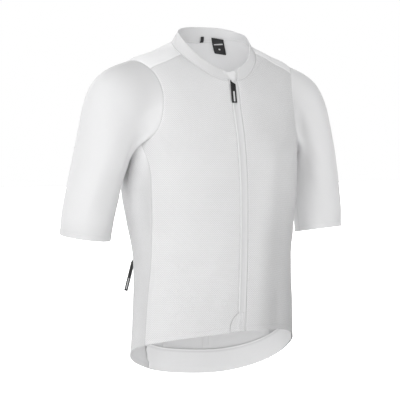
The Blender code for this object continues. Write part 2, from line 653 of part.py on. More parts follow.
def zip_ends():
    """Zip tapes along the two open ends of the collar, above the slider."""
    start = float(angle_of_x(ZIP_HALF, 0.0))
    for side, name in ((1, "zip_end_left"), (-1, "zip_end_right")):
        up = np.array([0.14, 0.42, 0.70, 0.96])
        edge = collar_point(np.full(4, side*start), up)
        inner = edge.copy()
        inner[:, 0] -= side*0.0040
        edge[:, 0] -= side*GAP
        grid = np.stack([edge, inner], 1)
        n = unit(np.array([0.0, -0.82, 0.57]))
        normals = np.broadcast_to(n, grid.shape).copy()
        cloth(name, grid - normals*0.0001, normals, BAND, "white_moulding")


def on_body(name, angle, ring, offset, thickness, finish):
    """Flat piece lying on the body's cloth, outside it for a positive offset, inside for a negative one."""
    outer, normals = torso(angle, ring), torso_normal(angle, ring)
    return cloth(name, outer + normals*offset, normals, thickness, finish)


def gripper():
    angle = np.concatenate([line(GRIPPER_ENDS[0], 180.0, 5), line(180.0, GRIPPER_ENDS[1], 18)[1:]])
    up = np.array([GRIPPER_DEPTH, 0.023, 0.0012])
    ring = np.stack([hem_ring(angle, u) for u in up])
    on_body("hem_gripper", np.broadcast_to(angle, ring.shape), ring, -(CLOTH + EASE), BAND, "elastic")


def pockets():
    angle = np.concatenate([line(239.0, 180.0, 7), line(180.0, 121.0, 7)[1:]])
    top_at = natural_spline([r[0] for r in POCKET_TOP], [r[1] for r in POCKET_TOP])
    top = top_at(180 - np.abs(180 - angle))[..., 0]
    rows = [ring_of_height(top + (POCKET_FOOT - top)*k) for k in np.linspace(0, 1, 8)]
    ring = np.stack(rows)
    on_body("back_pockets", np.broadcast_to(angle, ring.shape), ring, EASE + BAND, BAND, "stretch_cloth")


POCKET_ZIP_ANGLE, POCKET_ZIP_TOP, POCKET_ZIP_FOOT = -129.0, -0.4055, -0.5235


def pocket_zip():
    z = line(POCKET_ZIP_TOP, POCKET_ZIP_FOOT, 5)
    ring = ring_of_height(z)
    angle = np.array([POCKET_ZIP_ANGLE - 2.4, POCKET_ZIP_ANGLE + 2.4])
    a, t = np.meshgrid(angle, ring)
    on_body("pocket_zip", a, t, EASE + 2*GAP + 2*BAND, BAND, "white_moulding")


def base_tab():
    """Rounded patch bonded over the foot of the zip."""
    z = np.array([-0.5090, -0.5170, -0.5260, -0.5350, -0.5440])
    left = np.array([-0.0100, -0.0185, -0.0245, -0.0270, -0.0275])
    rows_x = [line(a, 0.0045, 3) for a in left]
    x = np.array(rows_x)
    ring = np.repeat(ring_of_height(z)[:, None], 4, 1)
    angle = angle_of_x(x, ring)
    on_body("zip_base_tab", angle, ring, ZIP_PROUD + GAP + 0.0010, 0.0010, "mesh_cloth")


def frame_at(angle, ring):
    """Point on the cloth with its outward normal, its upward direction and its sideways direction."""
    p, n = torso(angle, ring), torso_normal(angle, ring)
    up = torso(angle, ring - 0.01) - p
    up = unit(up - n*(up*n).sum())
    return p, n, up, np.cross(up, n)


def box_into(bm, centre, axes, half):
    """Add a box of the given half sizes along the given axes."""
    v = []
    for i in (-1, 1):
        for j in (-1, 1):
            for k in (-1, 1):
                v.append(bm.verts.new(tuple(centre + i*half[0]*axes[0] + j*half[1]*axes[1] + k*half[2]*axes[2])))
    for f in ((0, 1, 3, 2), (4, 6, 7, 5), (0, 4, 5, 1), (2, 3, 7, 6), (0, 2, 6, 4), (1, 5, 7, 3)):
        bm.faces.new([v[i] for i in f])


def prism(name, outline, loops, pivot, across, down, out, thickness, finish):
    """Flat outline of (across, down) points given a thickness, half before and half behind the pivot; loops are its convex parts."""
    bm = bmesh.new()
    layers = []
    for s in (0.5, -0.5):
        layers.append([bm.verts.new(tuple(pivot + across*a + down*d + out*thickness*s)) for a, d in outline])
        for loop in loops:
            bm.faces.new([layers[-1][i] for i in loop])
    n = len(outline)
    for i in range(n):
        j = (i + 1) % n
        bm.faces.new((layers[0][i], layers[1][i], layers[1][j], layers[0][j]))
    bmesh.ops.recalc_face_normals(bm, faces=bm.faces)
    return to_object(name, bm, finish, tuple(pivot))


PULL_NECK = 0.0026        # width left for a pull's eye between the slider's cheeks


def slider_outline(width, height):
    """Outline of a slider body, wide above and narrower below, with its two cheeks left for the pull's eye."""
    w, h = width/2, height/2
    return [(-w, -h*0.6), (-w*0.7, -h), (w*0.7, -h), (w, -h*0.6), (w*0.85, h), (-w*0.85, h)]


def slider(name, foot, out, up, across, width, height, thick, lug, aside=0.0, eye=PULL_NECK):
    """Slider body with two cheeks, aside of its middle, that carry the pull's eye; foot is the middle of its back face."""
    bm = bmesh.new()
    centre = foot + out*thick/2
    outline = slider_outline(width, height)
    layers = []
    for s in (0.5, -0.5):
        layers.append([bm.verts.new(tuple(centre + across*a - up*d + out*thick*s)) for a, d in outline])
    bm.faces.new(layers[0])
    bm.faces.new(layers[1][::-1])
    n = len(outline)
    for i in range(n):
        j = (i + 1) % n
        bm.faces.new((layers[0][i], layers[1][i], layers[1][j], layers[0][j]))
    body = to_object(name, bm, "white_moulding")
    for k in (-1, 1):
        cheek = bmesh.new()
        box_into(cheek, centre + out*(thick/2 + lug/2 - 0.0004) + across*(aside + k*(eye/2 + 0.0003 + 0.0005)) + up*height*0.18,
                 (across, out, up), (0.0005, lug/2 + 0.0004, 0.0014))
        tool = to_object(name + "_cheek", cheek, "white_moulding")
        union = body.modifiers.new("cheek", "BOOLEAN")
        union.operation, union.solver, union.object = "UNION", "EXACT", tool
        apply_modifiers(body)
        bpy.data.objects.remove(tool)
    tidy = bmesh.new()
    tidy.from_mesh(body.data)
    bmesh.ops.remove_doubles(tidy, verts=tidy.verts, dist=1e-5)
    bmesh.ops.dissolve_degenerate(tidy, edges=tidy.edges, dist=1e-5)
    tidy.to_mesh(body.data)
    tidy.free()
    return centre + out*(thick/2 + lug - 0.0009) + up*height*0.18 + across*aside


def apply_modifiers(obj):
    """Bake the object's modifiers into its mesh."""
    depsgraph = bpy.context.evaluated_depsgraph_get()
    mesh = bpy.data.meshes.new_from_object(obj.evaluated_get(depsgraph))
    obj.modifiers.clear()
    obj.data = mesh


PULL_LOOPS = ((0, 1, 2, 7), (7, 2, 3, 4, 5, 6))     # eye, then tab


def pull_outline(length, eye, heel, neck, right, left):
    """Tape pull: an eye that turns in the slider, a neck and a square-ended tab; right and left say how far out each side is and where it gets there."""
    e = eye/2
    return [(-e, -heel), (e, -heel), (e, neck), right, (right[0], length), (-left[0], length), (-left[0], left[1]), (-e, neck)]


FRONT_PULL = {"length": PULL_LENGTH - 0.0005, "eye": 0.0020, "heel": 0.0007, "neck": 0.0018, "right": (0.0098, 0.0068), "left": (0.0010, 0.0050)}
POCKET_PULL = {"length": 0.0675, "eye": 0.0014, "heel": 0.0005, "neck": 0.0045, "right": (0.0045, 0.0110), "left": (0.0045, 0.0110)}


def twisted(across, out, turn):
    """Face and width directions of a tape turned about its length, its face towards the wearer's front for a positive turn."""
    t = math.radians(turn)*(1 if across[1] < 0 else -1)
    return out*math.cos(t) + across*math.sin(t), across*math.cos(t) - out*math.sin(t)


POCKET_PULL_TWIST = 66.0


def front_zip_hardware():
    p, n, up, across = frame_at(np.array(-4.0), np.array(0.26))
    foot = p + n*(ZIP_PROUD + GAP)
    pivot = slider("zip_slider", foot, n, up, across, 0.0104, 0.0100, 0.0022, 0.0025, -0.0029, FRONT_PULL["eye"])
    tip = torso(np.array(-3.5), np.array(2.55)) + torso_normal(np.array(-3.5), np.array(2.55))*(ZIP_PROUD + 0.0016)
    down = unit(tip - pivot)
    out = unit(np.cross(across, down))
    if out[1] > 0:
        out = -out
    side = np.cross(down, out)
    side = side if side[0] > 0 else -side
    prism("zip_pull", pull_outline(**FRONT_PULL), PULL_LOOPS, pivot, side, down, out, PULL_THICK, "black_tape")
    return pivot, side, down, out


def pocket_zip_hardware():
    ring = float(ring_of_height(np.array(POCKET_ZIP_TOP - 0.004)))
    p, n, up, across = frame_at(np.array(POCKET_ZIP_ANGLE), np.array(ring))
    foot = p + n*(EASE + 2*BAND + 4*GAP)
    pivot = slider("pocket_slider", foot, n, up, across, 0.0070, 0.0085, 0.0020, 0.0020)
    stand = math.radians(21)
    down = unit(-up*math.cos(stand) + n*math.sin(stand))
    out = unit(np.cross(across, down))
    if (out*n).sum() < 0:
        out = -out
    face, side = twisted(across, out, POCKET_PULL_TWIST)
    prism("pocket_pull", pull_outline(**POCKET_PULL), PULL_LOOPS, pivot, side, down, face, PULL_THICK, "black_tape")
    return pivot, across, down, out


LABEL = [                 # row from top to foot: angle on the right, on the left as seen from inside; then height up the collar, or ring
    ("collar", 159.8, 141.8, 0.320, 0.110),
    ("seam",   158.4, 142.0, 0.000, 0.000),
    ("yoke",   156.5, 142.3, 0.610, 0.690),
    ("yoke",   154.5, 142.7, 1.225, 1.385),
]
LOOP = [("collar", 176.4, 172.0, 0.400, 0.400), ("collar", 176.4, 172.0, 0.200, 0.200), ("collar", 176.4, 171.8, 0.030, 0.030)]


def inside_neck(name, rows, columns, off, thickness):
    """Tape lying on the inside of the collar and of the cloth below its seam."""
    grid = []
    for where, a, b, u, v in rows:
        s = np.linspace(0, 1, columns)
        place = collar_point if where == "collar" else torso
        grid.append(place(a + (b - a)*s, (u + (v - u)*s) if where != "seam" else 0*s))
    grid = np.array(grid)
    normals = grid_normals(grid)
    normals = normals*np.sign((normals*(grid*np.array([1.0, 1.0, 0.0]))).sum(-1, keepdims=True))
    return cloth(name, grid - normals*off, normals, thickness, "black_tape")


def neck_label():
    """Black label inside the neck, over the collar seam left of the centre back, and the hanging loop at the centre."""
    inside_neck("neck_label", LABEL, 4, COLLAR_CLOTH + 2*GAP, 0.0010)
    inside_neck("hang_loop", LOOP, 2, COLLAR_CLOTH + 2*GAP, 0.0012)


# ------------------------------------------------------------------ build
for old in list(bpy.data.objects):
    bpy.data.objects.remove(old)

JERSEY = bpy.data.objects.new("jersey", None)
bpy.context.collection.objects.link(JERSEY)

strip_stations = front(-1)
front(1)
side_panel(1)
side_panel(-1)
back()
sleeve(1)
sleeve(-1)
collar()
zip_strip(strip_stations[:, 1])
zip_guard()
zip_ends()
gripper()
pockets()
pocket_zip()
base_tab()
FRONT_PIVOT = front_zip_hardware()
POCKET_PIVOT = pocket_zip_hardware()
neck_label()
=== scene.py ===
"""Looks of the short-sleeved cycling jersey: every cloth piece as a thin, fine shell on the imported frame, with its
seams, stitches, tapes, folds and knit, and the studio it is seen in.

Metres, +Z up, front to -Y, +X is the wearer's left, as in the frame.
"""
import json
import math
import bpy
import numpy as np
from mathutils import Matrix, Vector
from mathutils.kdtree import KDTree

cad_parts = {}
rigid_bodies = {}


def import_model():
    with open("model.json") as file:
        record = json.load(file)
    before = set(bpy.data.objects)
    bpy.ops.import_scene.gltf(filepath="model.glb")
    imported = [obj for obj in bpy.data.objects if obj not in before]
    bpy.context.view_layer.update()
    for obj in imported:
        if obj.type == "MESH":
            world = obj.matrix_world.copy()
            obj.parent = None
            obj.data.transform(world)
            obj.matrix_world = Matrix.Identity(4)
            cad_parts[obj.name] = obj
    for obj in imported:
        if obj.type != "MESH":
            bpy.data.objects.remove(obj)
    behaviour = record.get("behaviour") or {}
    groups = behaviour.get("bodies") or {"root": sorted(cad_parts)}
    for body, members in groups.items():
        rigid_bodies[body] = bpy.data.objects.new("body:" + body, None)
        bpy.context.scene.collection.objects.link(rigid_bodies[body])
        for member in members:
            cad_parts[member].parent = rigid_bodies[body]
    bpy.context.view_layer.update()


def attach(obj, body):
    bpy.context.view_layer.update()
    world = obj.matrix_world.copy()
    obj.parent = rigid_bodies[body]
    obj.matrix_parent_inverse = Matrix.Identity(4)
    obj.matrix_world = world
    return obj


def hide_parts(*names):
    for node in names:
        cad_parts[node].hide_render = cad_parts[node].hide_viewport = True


for old in list(bpy.data.objects):
    bpy.data.objects.remove(old)
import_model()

# ------------------------------------------------------------------ driving sizes
CLOTH = 0.0014            # body and sleeve cloth, as a wall
COLLAR_CLOTH = 0.0019     # doubled cloth of the collar
BAND = 0.0012             # elastic band, pockets, tapes
GAP = 0.0003              # clearance along every seam
EASE = 0.0012             # how far a second layer lies off the cloth behind it
ZIP_HALF = 0.0093         # half width of the covered zip strip
ZIP_PROUD = 0.0004        # how far the strip stands above the fronts
PULL_LENGTH = 0.0430
PULL_THICK = 0.0013
GRIPPER_DEPTH = 0.048     # height of the elastic band inside the back hem
GRIPPER_ENDS = (213.0, 50.0)     # angles between which the band runs round the back
POCKET_FOOT = -0.600      # height of the pockets' bottom seam
NECK_ROLL = 0.050         # the neck seam sits a little higher on the wearer's left
COLLAR_ROLL = 0.031       # and so does the collar's top edge
FADE_RING = 2.6           # ring at which the neckline's own shape has died away

# number of stations along each seam
N_NECK_FRONT, N_NECK_BACK = 8, 12
N_SHOULDER, N_ARM_FRONT, N_ARM_SIDE, N_ARM_BACK = 5, 8, 4, 13
N_SIDE = 12
ARM_YOKE, YOKE_RING = 5, 3.10      # the back's yoke ends at this armhole station and at this ring in the middle

# ------------------------------------------------------------------ tables
RING_COLUMNS = ("z_front", "z_side", "z_back", "half_width", "y_mid", "y_front", "y_back", "square_front", "square_back")
RINGS = [
    ("neck_seam",    -0.074, -0.0040,  0.005, 0.088, 0.000, -0.0660, 0.0590, 2.00, 2.00),
    ("neck_base",    -0.086, -0.0110, -0.008, 0.112, 0.002, -0.0690, 0.0760, 2.05, 2.05),
    ("mid_shoulder", -0.102, -0.0225, -0.034, 0.144, 0.005, -0.0730, 0.0950, 2.10, 2.10),
    ("shoulder_tip", -0.123, -0.0385, -0.065, 0.180, 0.009, -0.0770, 0.1100, 2.20, 2.20),
    ("upper_chest",  -0.148, -0.0780, -0.104, 0.196, 0.010, -0.0830, 0.1200, 2.25, 2.25),
    ("armhole_mid",  -0.180, -0.1350, -0.155, 0.194, 0.012, -0.0900, 0.1260, 2.25, 2.25),
    ("underarm",     -0.226, -0.2050, -0.215, 0.190, 0.014, -0.0965, 0.1290, 2.20, 2.15),
    ("chest",        -0.285, -0.2800, -0.285, 0.186, 0.014, -0.1005, 0.1240, 2.18, 2.10),
    ("ribs",         -0.345, -0.3450, -0.345, 0.177, 0.012, -0.1005, 0.1130, 2.18, 2.05),
    ("waist",        -0.405, -0.4050, -0.405, 0.168, 0.009, -0.0995, 0.1030, 2.20, 2.00),
    ("belly",        -0.470, -0.4700, -0.470, 0.170, 0.006, -0.0965, 0.0960, 2.20, 2.00),
    ("hip",          -0.540, -0.5400, -0.540, 0.1725, 0.005, -0.0930, 0.1005, 2.25, 2.00),
    ("seat",         -0.600, -0.6000, -0.600, 0.176, 0.006, -0.0925, 0.1085, 2.25, 2.00),
    ("tail",         -0.665, -0.6650, -0.665, 0.177, 0.008, -0.0925, 0.1130, 2.25, 2.00),
]
LEVEL_FROM = 7            # rings from here down are level

NECKLINE = [              # angle, height of the collar seam, height of the collar's top edge
    (0,   -0.0740, -0.0550),
    (15,  -0.0715, -0.0510),
    (30,  -0.0619, -0.0420),
    (45,  -0.0477, -0.0305),
    (60,  -0.0335, -0.0155),
    (75,  -0.0201,  0.0000),
    (90,  -0.0077,  0.0135),
    (110,  0.0044,  0.0220),
    (135,  0.0088,  0.0298),
    (160,  0.0069,  0.0338),
    (180,  0.0050,  0.0345),
]
COLLAR_TOP = {"half_width": 0.0763, "y_front": -0.0530, "y_back": 0.0476, "open_half": 0.0205}

HEM = [                   # angle, height on the wearer's right, height on the left (the tail hangs a little to the left)
    (0,   -0.545,  -0.545),
    (40,  -0.552,  -0.551),
    (75,  -0.566,  -0.5825),
    (95,  -0.578,  -0.6055),
    (115, -0.5975, -0.628),
    (135, -0.617,  -0.645),
    (155, -0.6355, -0.653),
    (180, -0.649,  -0.649),
]
ARMHOLE = [               # point on the loop, angle, ring; evenly spaced round the sleeve, front first
    ("tip",          92, 3.00),
    ("front_high",   64, 2.93),
    ("front_mid",  48.5, 3.60),
    ("front_low",  48.5, 4.65),
    ("front_under",  60, 5.60),
    ("underarm",     90, 6.06),
    ("back_under",  114, 5.75),
    ("back_low",    129, 4.90),
    ("back_mid",    129, 3.85),
    ("back_high",   113, 3.10),
]
PHI_SHOULDER, PHI_FRONT, PHI_BACK = 38.0, 155.0, 210.0    # where the other seams meet the armhole
SHOULDER_SEAM = [         # share of the way from the neck, angle, ring
    (0.00, 74.0, 0.00),
    (0.22, 68.5, 0.62),
    (0.45, 64.5, 1.30),
    (0.68, 62.5, 1.95),
]
SIDE_SEAMS = [            # ring, angle of the seam to the front, angle of the seam to the back
    (6.20, 63.0, 116.0),
    (6.80, 61.3, 118.5),
    (7.70, 63.4, 119.0),
    (8.75, 68.6, 117.5),
    (9.90, 72.4, 115.5),
    (11.0, 74.5, 113.5),
    (12.2, 74.5, 112.0),
]
SLEEVE_COLUMNS = ("z", "x_mid", "y_mid", "half_side", "half_depth", "rise_outside", "drop_front")
SLEEVE = [                # share of the way from biceps to cuff, then the columns above
    (0.0, -0.225, 0.2420, 0.0130, 0.0485, 0.0600, 0.0137, 0.004),
    (0.5, -0.296, 0.2613, 0.0170, 0.0492, 0.0510, 0.0025, 0.004),
    (1.0, -0.360, 0.2716, 0.0211, 0.0455, 0.0502, 0.0060, 0.005),
]
CUFF_LIE = {1: -0.0053, -1: -0.0037}     # how far the left and right cuffs hang above or below the mean
CUFF_TILT = {1: -0.003, -1: -0.002}     # how much higher each lies on the outside
CUFF_DROP = {1: -0.0112, -1: 0.0}     # and how much lower in front
SLEEVE_CAP = 0.40                      # share of the sleeve above the biceps ring
SLEEVE_START = {"top": (0.968, 0.0, -0.249), "under": (0.70, 0.0, -0.71)}
SLEEVE_PULL = {"top": 0.336, "side": 0.13, "under": 0.045}
SLEEVE_PUSH = {"top": 0.31, "side": 0.12, "under": 0.050}
SLEEVE_ROWS = (0.0, 0.035, 0.09, 0.15, 0.22, 0.30, 0.40, 0.52, 0.64, 0.76, 0.88, 1.0)

POCKET_TOP = [            # angle, height of the pockets' open top edge
    (121, -0.4020),
    (150, -0.3960),
    (180, -0.3920),
]

# ------------------------------------------------------------------ splines and small vector helpers
def natural_spline(xs, ys):
    """Natural cubic spline through the points; ys may hold several columns."""
    xs, ys = np.asarray(xs, float), np.asarray(ys, float)
    if ys.ndim == 1:
        ys = ys[:, None]
    n, h = len(xs), np.diff(xs)
    a, b = np.zeros((n, n)), np.zeros((n, ys.shape[1]))
    a[0, 0] = a[-1, -1] = 1
    for i in range(1, n - 1):
        a[i, i-1], a[i, i], a[i, i+1] = h[i-1], 2*(h[i-1] + h[i]), h[i]
        b[i] = 6*((ys[i+1] - ys[i])/h[i] - (ys[i] - ys[i-1])/h[i-1])
    m = np.linalg.solve(a, b)

    def at(x):
        x = np.asarray(x, float)
        shape, x = x.shape, x.ravel()
        i = np.clip(np.searchsorted(xs, x) - 1, 0, n - 2)
        d, hh = (x - xs[i])[:, None], h[i][:, None]
        e = hh - d
        out = ((m[i]*e**3 + m[i+1]*d**3)/(6*hh) + (ys[i]/hh - m[i]*hh/6)*e + (ys[i+1]/hh - m[i+1]*hh/6)*d)
        return out.reshape(shape + (ys.shape[1],))
    return at


def closed_spline(ys, period):
    """Closed cubic spline through evenly spaced rows."""
    ys = np.asarray(ys, float)
    n = len(ys)
    a, b = np.zeros((n, n)), np.zeros_like(ys)
    for i in range(n):
        a[i, i-1] += 1
        a[i, i] += 4
        a[i, (i+1) % n] += 1
        b[i] = 6*(ys[(i+1) % n] - 2*ys[i] + ys[i-1])
    m = np.linalg.solve(a, b)

    def at(u):
        u = (np.asarray(u, float)/period % 1.0)*n
        shape, u = u.shape, u.ravel()
        i = np.floor(u).astype(int) % n
        d = (u - np.floor(u))[:, None]
        e, j = 1 - d, (i + 1) % n
        out = (m[i]*e**3 + m[j]*d**3)/6 + (ys[i] - m[i]/6)*e + (ys[j] - m[j]/6)*d
        return out.reshape(shape + (ys.shape[1],))
    return at


def unit(v):
    return v/np.linalg.norm(v, axis=-1, keepdims=True)


def wrap(angle):
    return (np.asarray(angle, float) + 180) % 360 - 180


# ------------------------------------------------------------------ the body the cloth is cut to
ring_at = natural_spline(range(len(RINGS)), [r[1:] for r in RINGS])
neck_at = natural_spline([-r[0] for r in NECKLINE[:0:-1]] + [r[0] for r in NECKLINE],
                         [r[1:] for r in NECKLINE[:0:-1]] + [r[1:] for r in NECKLINE])
arm_at = closed_spline([r[1:] for r in ARMHOLE], 360.0)
sleeve_at = natural_spline([r[0] for r in SLEEVE], [r[1:] for r in SLEEVE])


def torso(angle, ring):
    """Outer face of the cloth."""
    angle, ring = np.broadcast_arrays(np.asarray(angle, float), np.asarray(ring, float))
    p = ring_at(ring)
    zf, zs, zb, a, ym, yf, yb, nf, nb = [p[..., i] for i in range(9)]
    s, c = np.sin(np.radians(angle)), np.cos(np.radians(angle))
    n = np.where(c > 0, nf, nb)
    r = (np.abs(s)**n + np.abs(c)**n)**(-1/n)
    front, back = np.maximum(c, 0), np.maximum(-c, 0)
    x = a*r*s
    y = ym + (yf - ym)*r*front + (yb - ym)*r*back
    z = zs + (zf - zs)*front**2 + (zb - zs)*back**2
    f0, s0, b0 = RINGS[0][1:4]
    plain = s0 + (f0 - s0)*front**2 + (b0 - s0)*back**2
    z = z + (neck_at(wrap(angle))[..., 0] - plain + NECK_ROLL*x)*np.clip(1 - ring/FADE_RING, 0, 1)**2
    return np.stack([x, y, z], -1)


def torso_normal(angle, ring):
    du = torso(np.asarray(angle) + 0.1, ring) - torso(np.asarray(angle) - 0.1, ring)
    dv = torso(angle, np.asarray(ring) + 1e-3) - torso(angle, np.asarray(ring) - 1e-3)
    return unit(np.cross(dv, du))


def angle_of_x(x, ring):
    """Angle near the zip at which the cloth is x from the centre plane."""
    return np.degrees(np.arcsin(np.asarray(x)/ring_at(ring)[..., 3]))


def ring_of_height(z):
    """Ring number at a height, on the level rings."""
    z = np.asarray(z, float)
    low, high = np.full(z.shape, float(LEVEL_FROM)), np.full(z.shape, len(RINGS) - 1.0)
    for _ in range(40):
        mid = (low + high)/2
        above = ring_at(mid)[..., 1] > z
        low, high = np.where(above, mid, low), np.where(above, high, mid)
    return (low + high)/2


_hem_angle = [-r[0] for r in HEM[:0:-1]] + [r[0] for r in HEM]
_hem_height = [r[1] for r in HEM[:0:-1]] + [r[2] for r in HEM]
hem_at = natural_spline([a - 360 for a in _hem_angle[-4:-1]] + _hem_angle + [a + 360 for a in _hem_angle[1:4]],
                        _hem_height[-4:-1] + _hem_height + _hem_height[1:4])


def hem_ring(angle, raised=0.0):
    return ring_of_height(hem_at(wrap(angle))[..., 0] + raised)


def collar_point(angle, up):
    """Collar's outer face: up is 0 at the neck seam and 1 at the top edge, whose ends stand open at the front."""
    angle, up = np.broadcast_arrays(np.asarray(angle, float), np.asarray(up, float))
    seam = torso(angle, 0*angle)
    start = float(angle_of_x(ZIP_HALF, 0.0))
    top_start = math.degrees(math.asin(COLLAR_TOP["open_half"]/COLLAR_TOP["half_width"]))
    a = wrap(angle)
    top = np.sign(a)*(top_start + (np.abs(a) - start)*(180 - top_start)/(180 - start))
    top = np.where(np.abs(a) < start, a*top_start/start, top)
    s, c = np.sin(np.radians(top)), np.cos(np.radians(top))
    x = COLLAR_TOP["half_width"]*s
    y = np.where(c > 0, COLLAR_TOP["y_front"]*c, -COLLAR_TOP["y_back"]*c)
    z = neck_at(top)[..., 1] + COLLAR_ROLL*x
    return seam + (np.stack([x, y, z], -1) - seam)*up[..., None]


def tube(phi, along, side):
    """Lower sleeve, wearer's left: phi is 0 outside, 90 in front, 180 inside."""
    phi, along = np.broadcast_arrays(np.asarray(phi, float), np.asarray(along, float))
    p = sleeve_at(along)
    z, x, y, hs, hd, rise, drop = [p[..., i] for i in range(7)]
    c, s = np.cos(np.radians(phi)), np.sin(np.radians(phi))
    return np.stack([x + hs*c, y - hd*s, z + (rise + CUFF_TILT[side]*along)*c - (drop + CUFF_DROP[side]*along)*s + CUFF_LIE[side]*along], -1)


def mirror(p, side):
    return p*np.array([side, 1.0, 1.0])


def sleeve_start(phi, side):
    """At the armhole: the point, the seam's tangent, the cloth's normal there and the way the sleeve leaves it, as on the left."""
    def seam(q):
        a, t = arm_at(q)[..., 0], arm_at(q)[..., 1]
        return a, t, mirror(torso(side*a, t), side)
    a, t, p = seam(phi)
    tangent = unit(seam(np.asarray(phi) + 0.5)[2] - seam(np.asarray(phi) - 0.5)[2])
    normal = mirror(torso_normal(side*a, t), side)
    out = unit(np.cross(tangent, normal))
    out = out*np.where(out[..., :1] < 0, -1, 1)
    c = np.cos(np.radians(phi))
    top, under = np.maximum(c, 0)**1.5, np.maximum(-c, 0)**1.2
    level = np.clip(1 - top - under, 0, 1)
    way = unit(out*level[..., None] + top[..., None]*np.array(SLEEVE_START["top"])
               + under[..., None]*np.array(SLEEVE_START["under"]))
    return p, tangent, normal, way, (top, level, under)


def sleeve_point(phi, along, side):
    """Whole sleeve, as on the wearer's left: along is 0 at the armhole seam and 1 at the cuff."""
    phi, along = np.broadcast_arrays(np.asarray(phi, float), np.asarray(along, float))
    p0, _, _, way, (top, level, under) = sleeve_start(phi, side)
    pull = (SLEEVE_PULL["top"]*top + SLEEVE_PULL["side"]*level + SLEEVE_PULL["under"]*under)[..., None]
    push = (SLEEVE_PUSH["top"]*top + SLEEVE_PUSH["side"]*level + SLEEVE_PUSH["under"]*under)[..., None]
    p1 = tube(phi, 0*along, side)
    down = unit(tube(phi, 0*along + 0.02, side) - p1)
    u = np.clip(along/SLEEVE_CAP, 0, 1)[..., None]
    cap = ((2*u**3 - 3*u**2 + 1)*p0 + (u**3 - 2*u**2 + u)*way*pull + (3*u**2 - 2*u**3)*p1 + (u**3 - u**2)*down*push)
    low = tube(phi, np.clip((along - SLEEVE_CAP)/(1 - SLEEVE_CAP), 0, 1), side)
    return np.where((along < SLEEVE_CAP)[..., None], cap, low)


def grid_normals(grid, closed=False):
    """Unit normals of a grid of points, facing away from columns crossed with rows."""
    if closed:
        du = np.roll(grid, -1, 1) - np.roll(grid, 1, 1)
    else:
        du = np.gradient(grid, axis=1)
    return unit(np.cross(np.gradient(grid, axis=0), du))


# ------------------------------------------------------------------ seams, as stations of (angle, ring)
def line(a, b, n):
    return a + (b - a)*np.linspace(0, 1, n + 1)


def arm_stations(start, end, n):
    phi = line(start, end, n)
    return phi, arm_at(phi)


PHI_ARM_FRONT, ARM_FRONT = arm_stations(PHI_SHOULDER, PHI_FRONT, N_ARM_FRONT)
PHI_ARM_SIDE, ARM_SIDE = arm_stations(PHI_FRONT, PHI_BACK, N_ARM_SIDE)
PHI_ARM_BACK, ARM_BACK = arm_stations(PHI_BACK, 360 + PHI_SHOULDER, N_ARM_BACK)

_shoulder = natural_spline([r[0] for r in SHOULDER_SEAM] + [1.0], [r[1:] for r in SHOULDER_SEAM] + [tuple(ARM_FRONT[0])])
SHOULDER = _shoulder(line(0.0, 1.0, N_SHOULDER))


def side_seam(column, start):
    """Side seam from its start on the armhole down to the hem."""
    rows = [(start[1], start[0])] + [(r[0], r[column]) for r in SIDE_SEAMS]
    angle_at = natural_spline([r[0] for r in rows], [r[1] for r in rows])
    end = start[1]
    for _ in range(30):
        end = float(0.5*(hem_ring(angle_at(end)[..., 0]) + hem_ring(-angle_at(end)[..., 0])))
    rings = line(start[1], end, N_SIDE)
    return np.stack([angle_at(rings)[..., 0], rings], -1)


SEAM_FRONT = side_seam(1, ARM_FRONT[-1])
SEAM_BACK = side_seam(2, ARM_SIDE[-1])
NECK_FRONT = line(float(angle_of_x(ZIP_HALF, 0.0)), SHOULDER[0, 0], N_NECK_FRONT)
NECK_BACK = line(180.0, SHOULDER[0, 0], N_NECK_BACK)


def to_hem(stations, side):
    """The same seam with its foot on the hem of that side: the rings below the armhole are stretched to reach it."""
    out = stations.copy()
    foot = float(hem_ring(side*out[-1, 0]))
    k = (out[:, 1] - out[0, 1])/(out[-1, 1] - out[0, 1])
    out[:, 1] += k**2*(foot - out[-1, 1])
    return out


def coons(top, bottom, left, right):
    """Grid of stations between four seams: rows run down, columns run from left to right."""
    v, u = np.linspace(0, 1, len(left))[:, None, None], np.linspace(0, 1, len(top))[None, :, None]
    return ((1 - v)*top[None] + v*bottom[None] + (1 - u)*left[:, None] + u*right[:, None]
            - (1 - u)*(1 - v)*top[0] - u*(1 - v)*top[-1] - (1 - u)*v*bottom[0] - u*v*bottom[-1])


# ------------------------------------------------------------------ what the looks add to the form
FABRIC = 0.0008           # thickness of body and sleeve cloth
COLLAR_FABRIC = 0.0016    # doubled cloth of the collar
SLIT = 0.00012            # half the gap between two cut edges at a seam
DIP, DIP_REACH = 0.00055, 0.0022          # how far cloth is drawn in at a seam, and from how far off
RIDGE, RIDGE_AT, RIDGE_WIDTH = 0.00028, 0.0030, 0.0011    # the roll that the seam allowance makes beside it
HEM_BAND, HEM_RISE = 0.0090, 0.00030      # bonded hem
CELL = 0.0042             # side of one mesh cell
NEAR = (0.0005, 0.0011, 0.0018, 0.0026, 0.0035, 0.0047)   # closer rows beside a sewn edge


def arm_normal(phi, side):
    """Shared normal at the armhole, between the body's and the sleeve's."""
    p, tangent, normal, way, _ = sleeve_start(phi, side)
    own = unit(np.cross(tangent, way))
    out = ((p + way*0.01 - np.array([0.215, 0.02, -0.125]))*own).sum(-1, keepdims=True)
    return mirror(unit(normal + own*np.where(out < 0, -1, 1)), side)


def neck_normal(angle):
    """Shared normal at the neck seam, between the body's and the collar's."""
    angle = np.asarray(angle, float)
    own = collar_normal(angle, 0*angle)
    return unit(torso_normal(angle, 0*angle) + own)


def collar_normal(angle, up):
    du = collar_point(np.asarray(angle) + 0.1, up) - collar_point(np.asarray(angle) - 0.1, up)
    rise = collar_point(angle, np.asarray(up) + 0.02) - collar_point(angle, np.asarray(up) - 0.02)
    own = unit(np.cross(du, rise))
    p = collar_point(angle, up)*np.array([1.0, 1.0, 0.0])
    return own*np.where((own*p).sum(-1, keepdims=True) < 0, -1, 1)


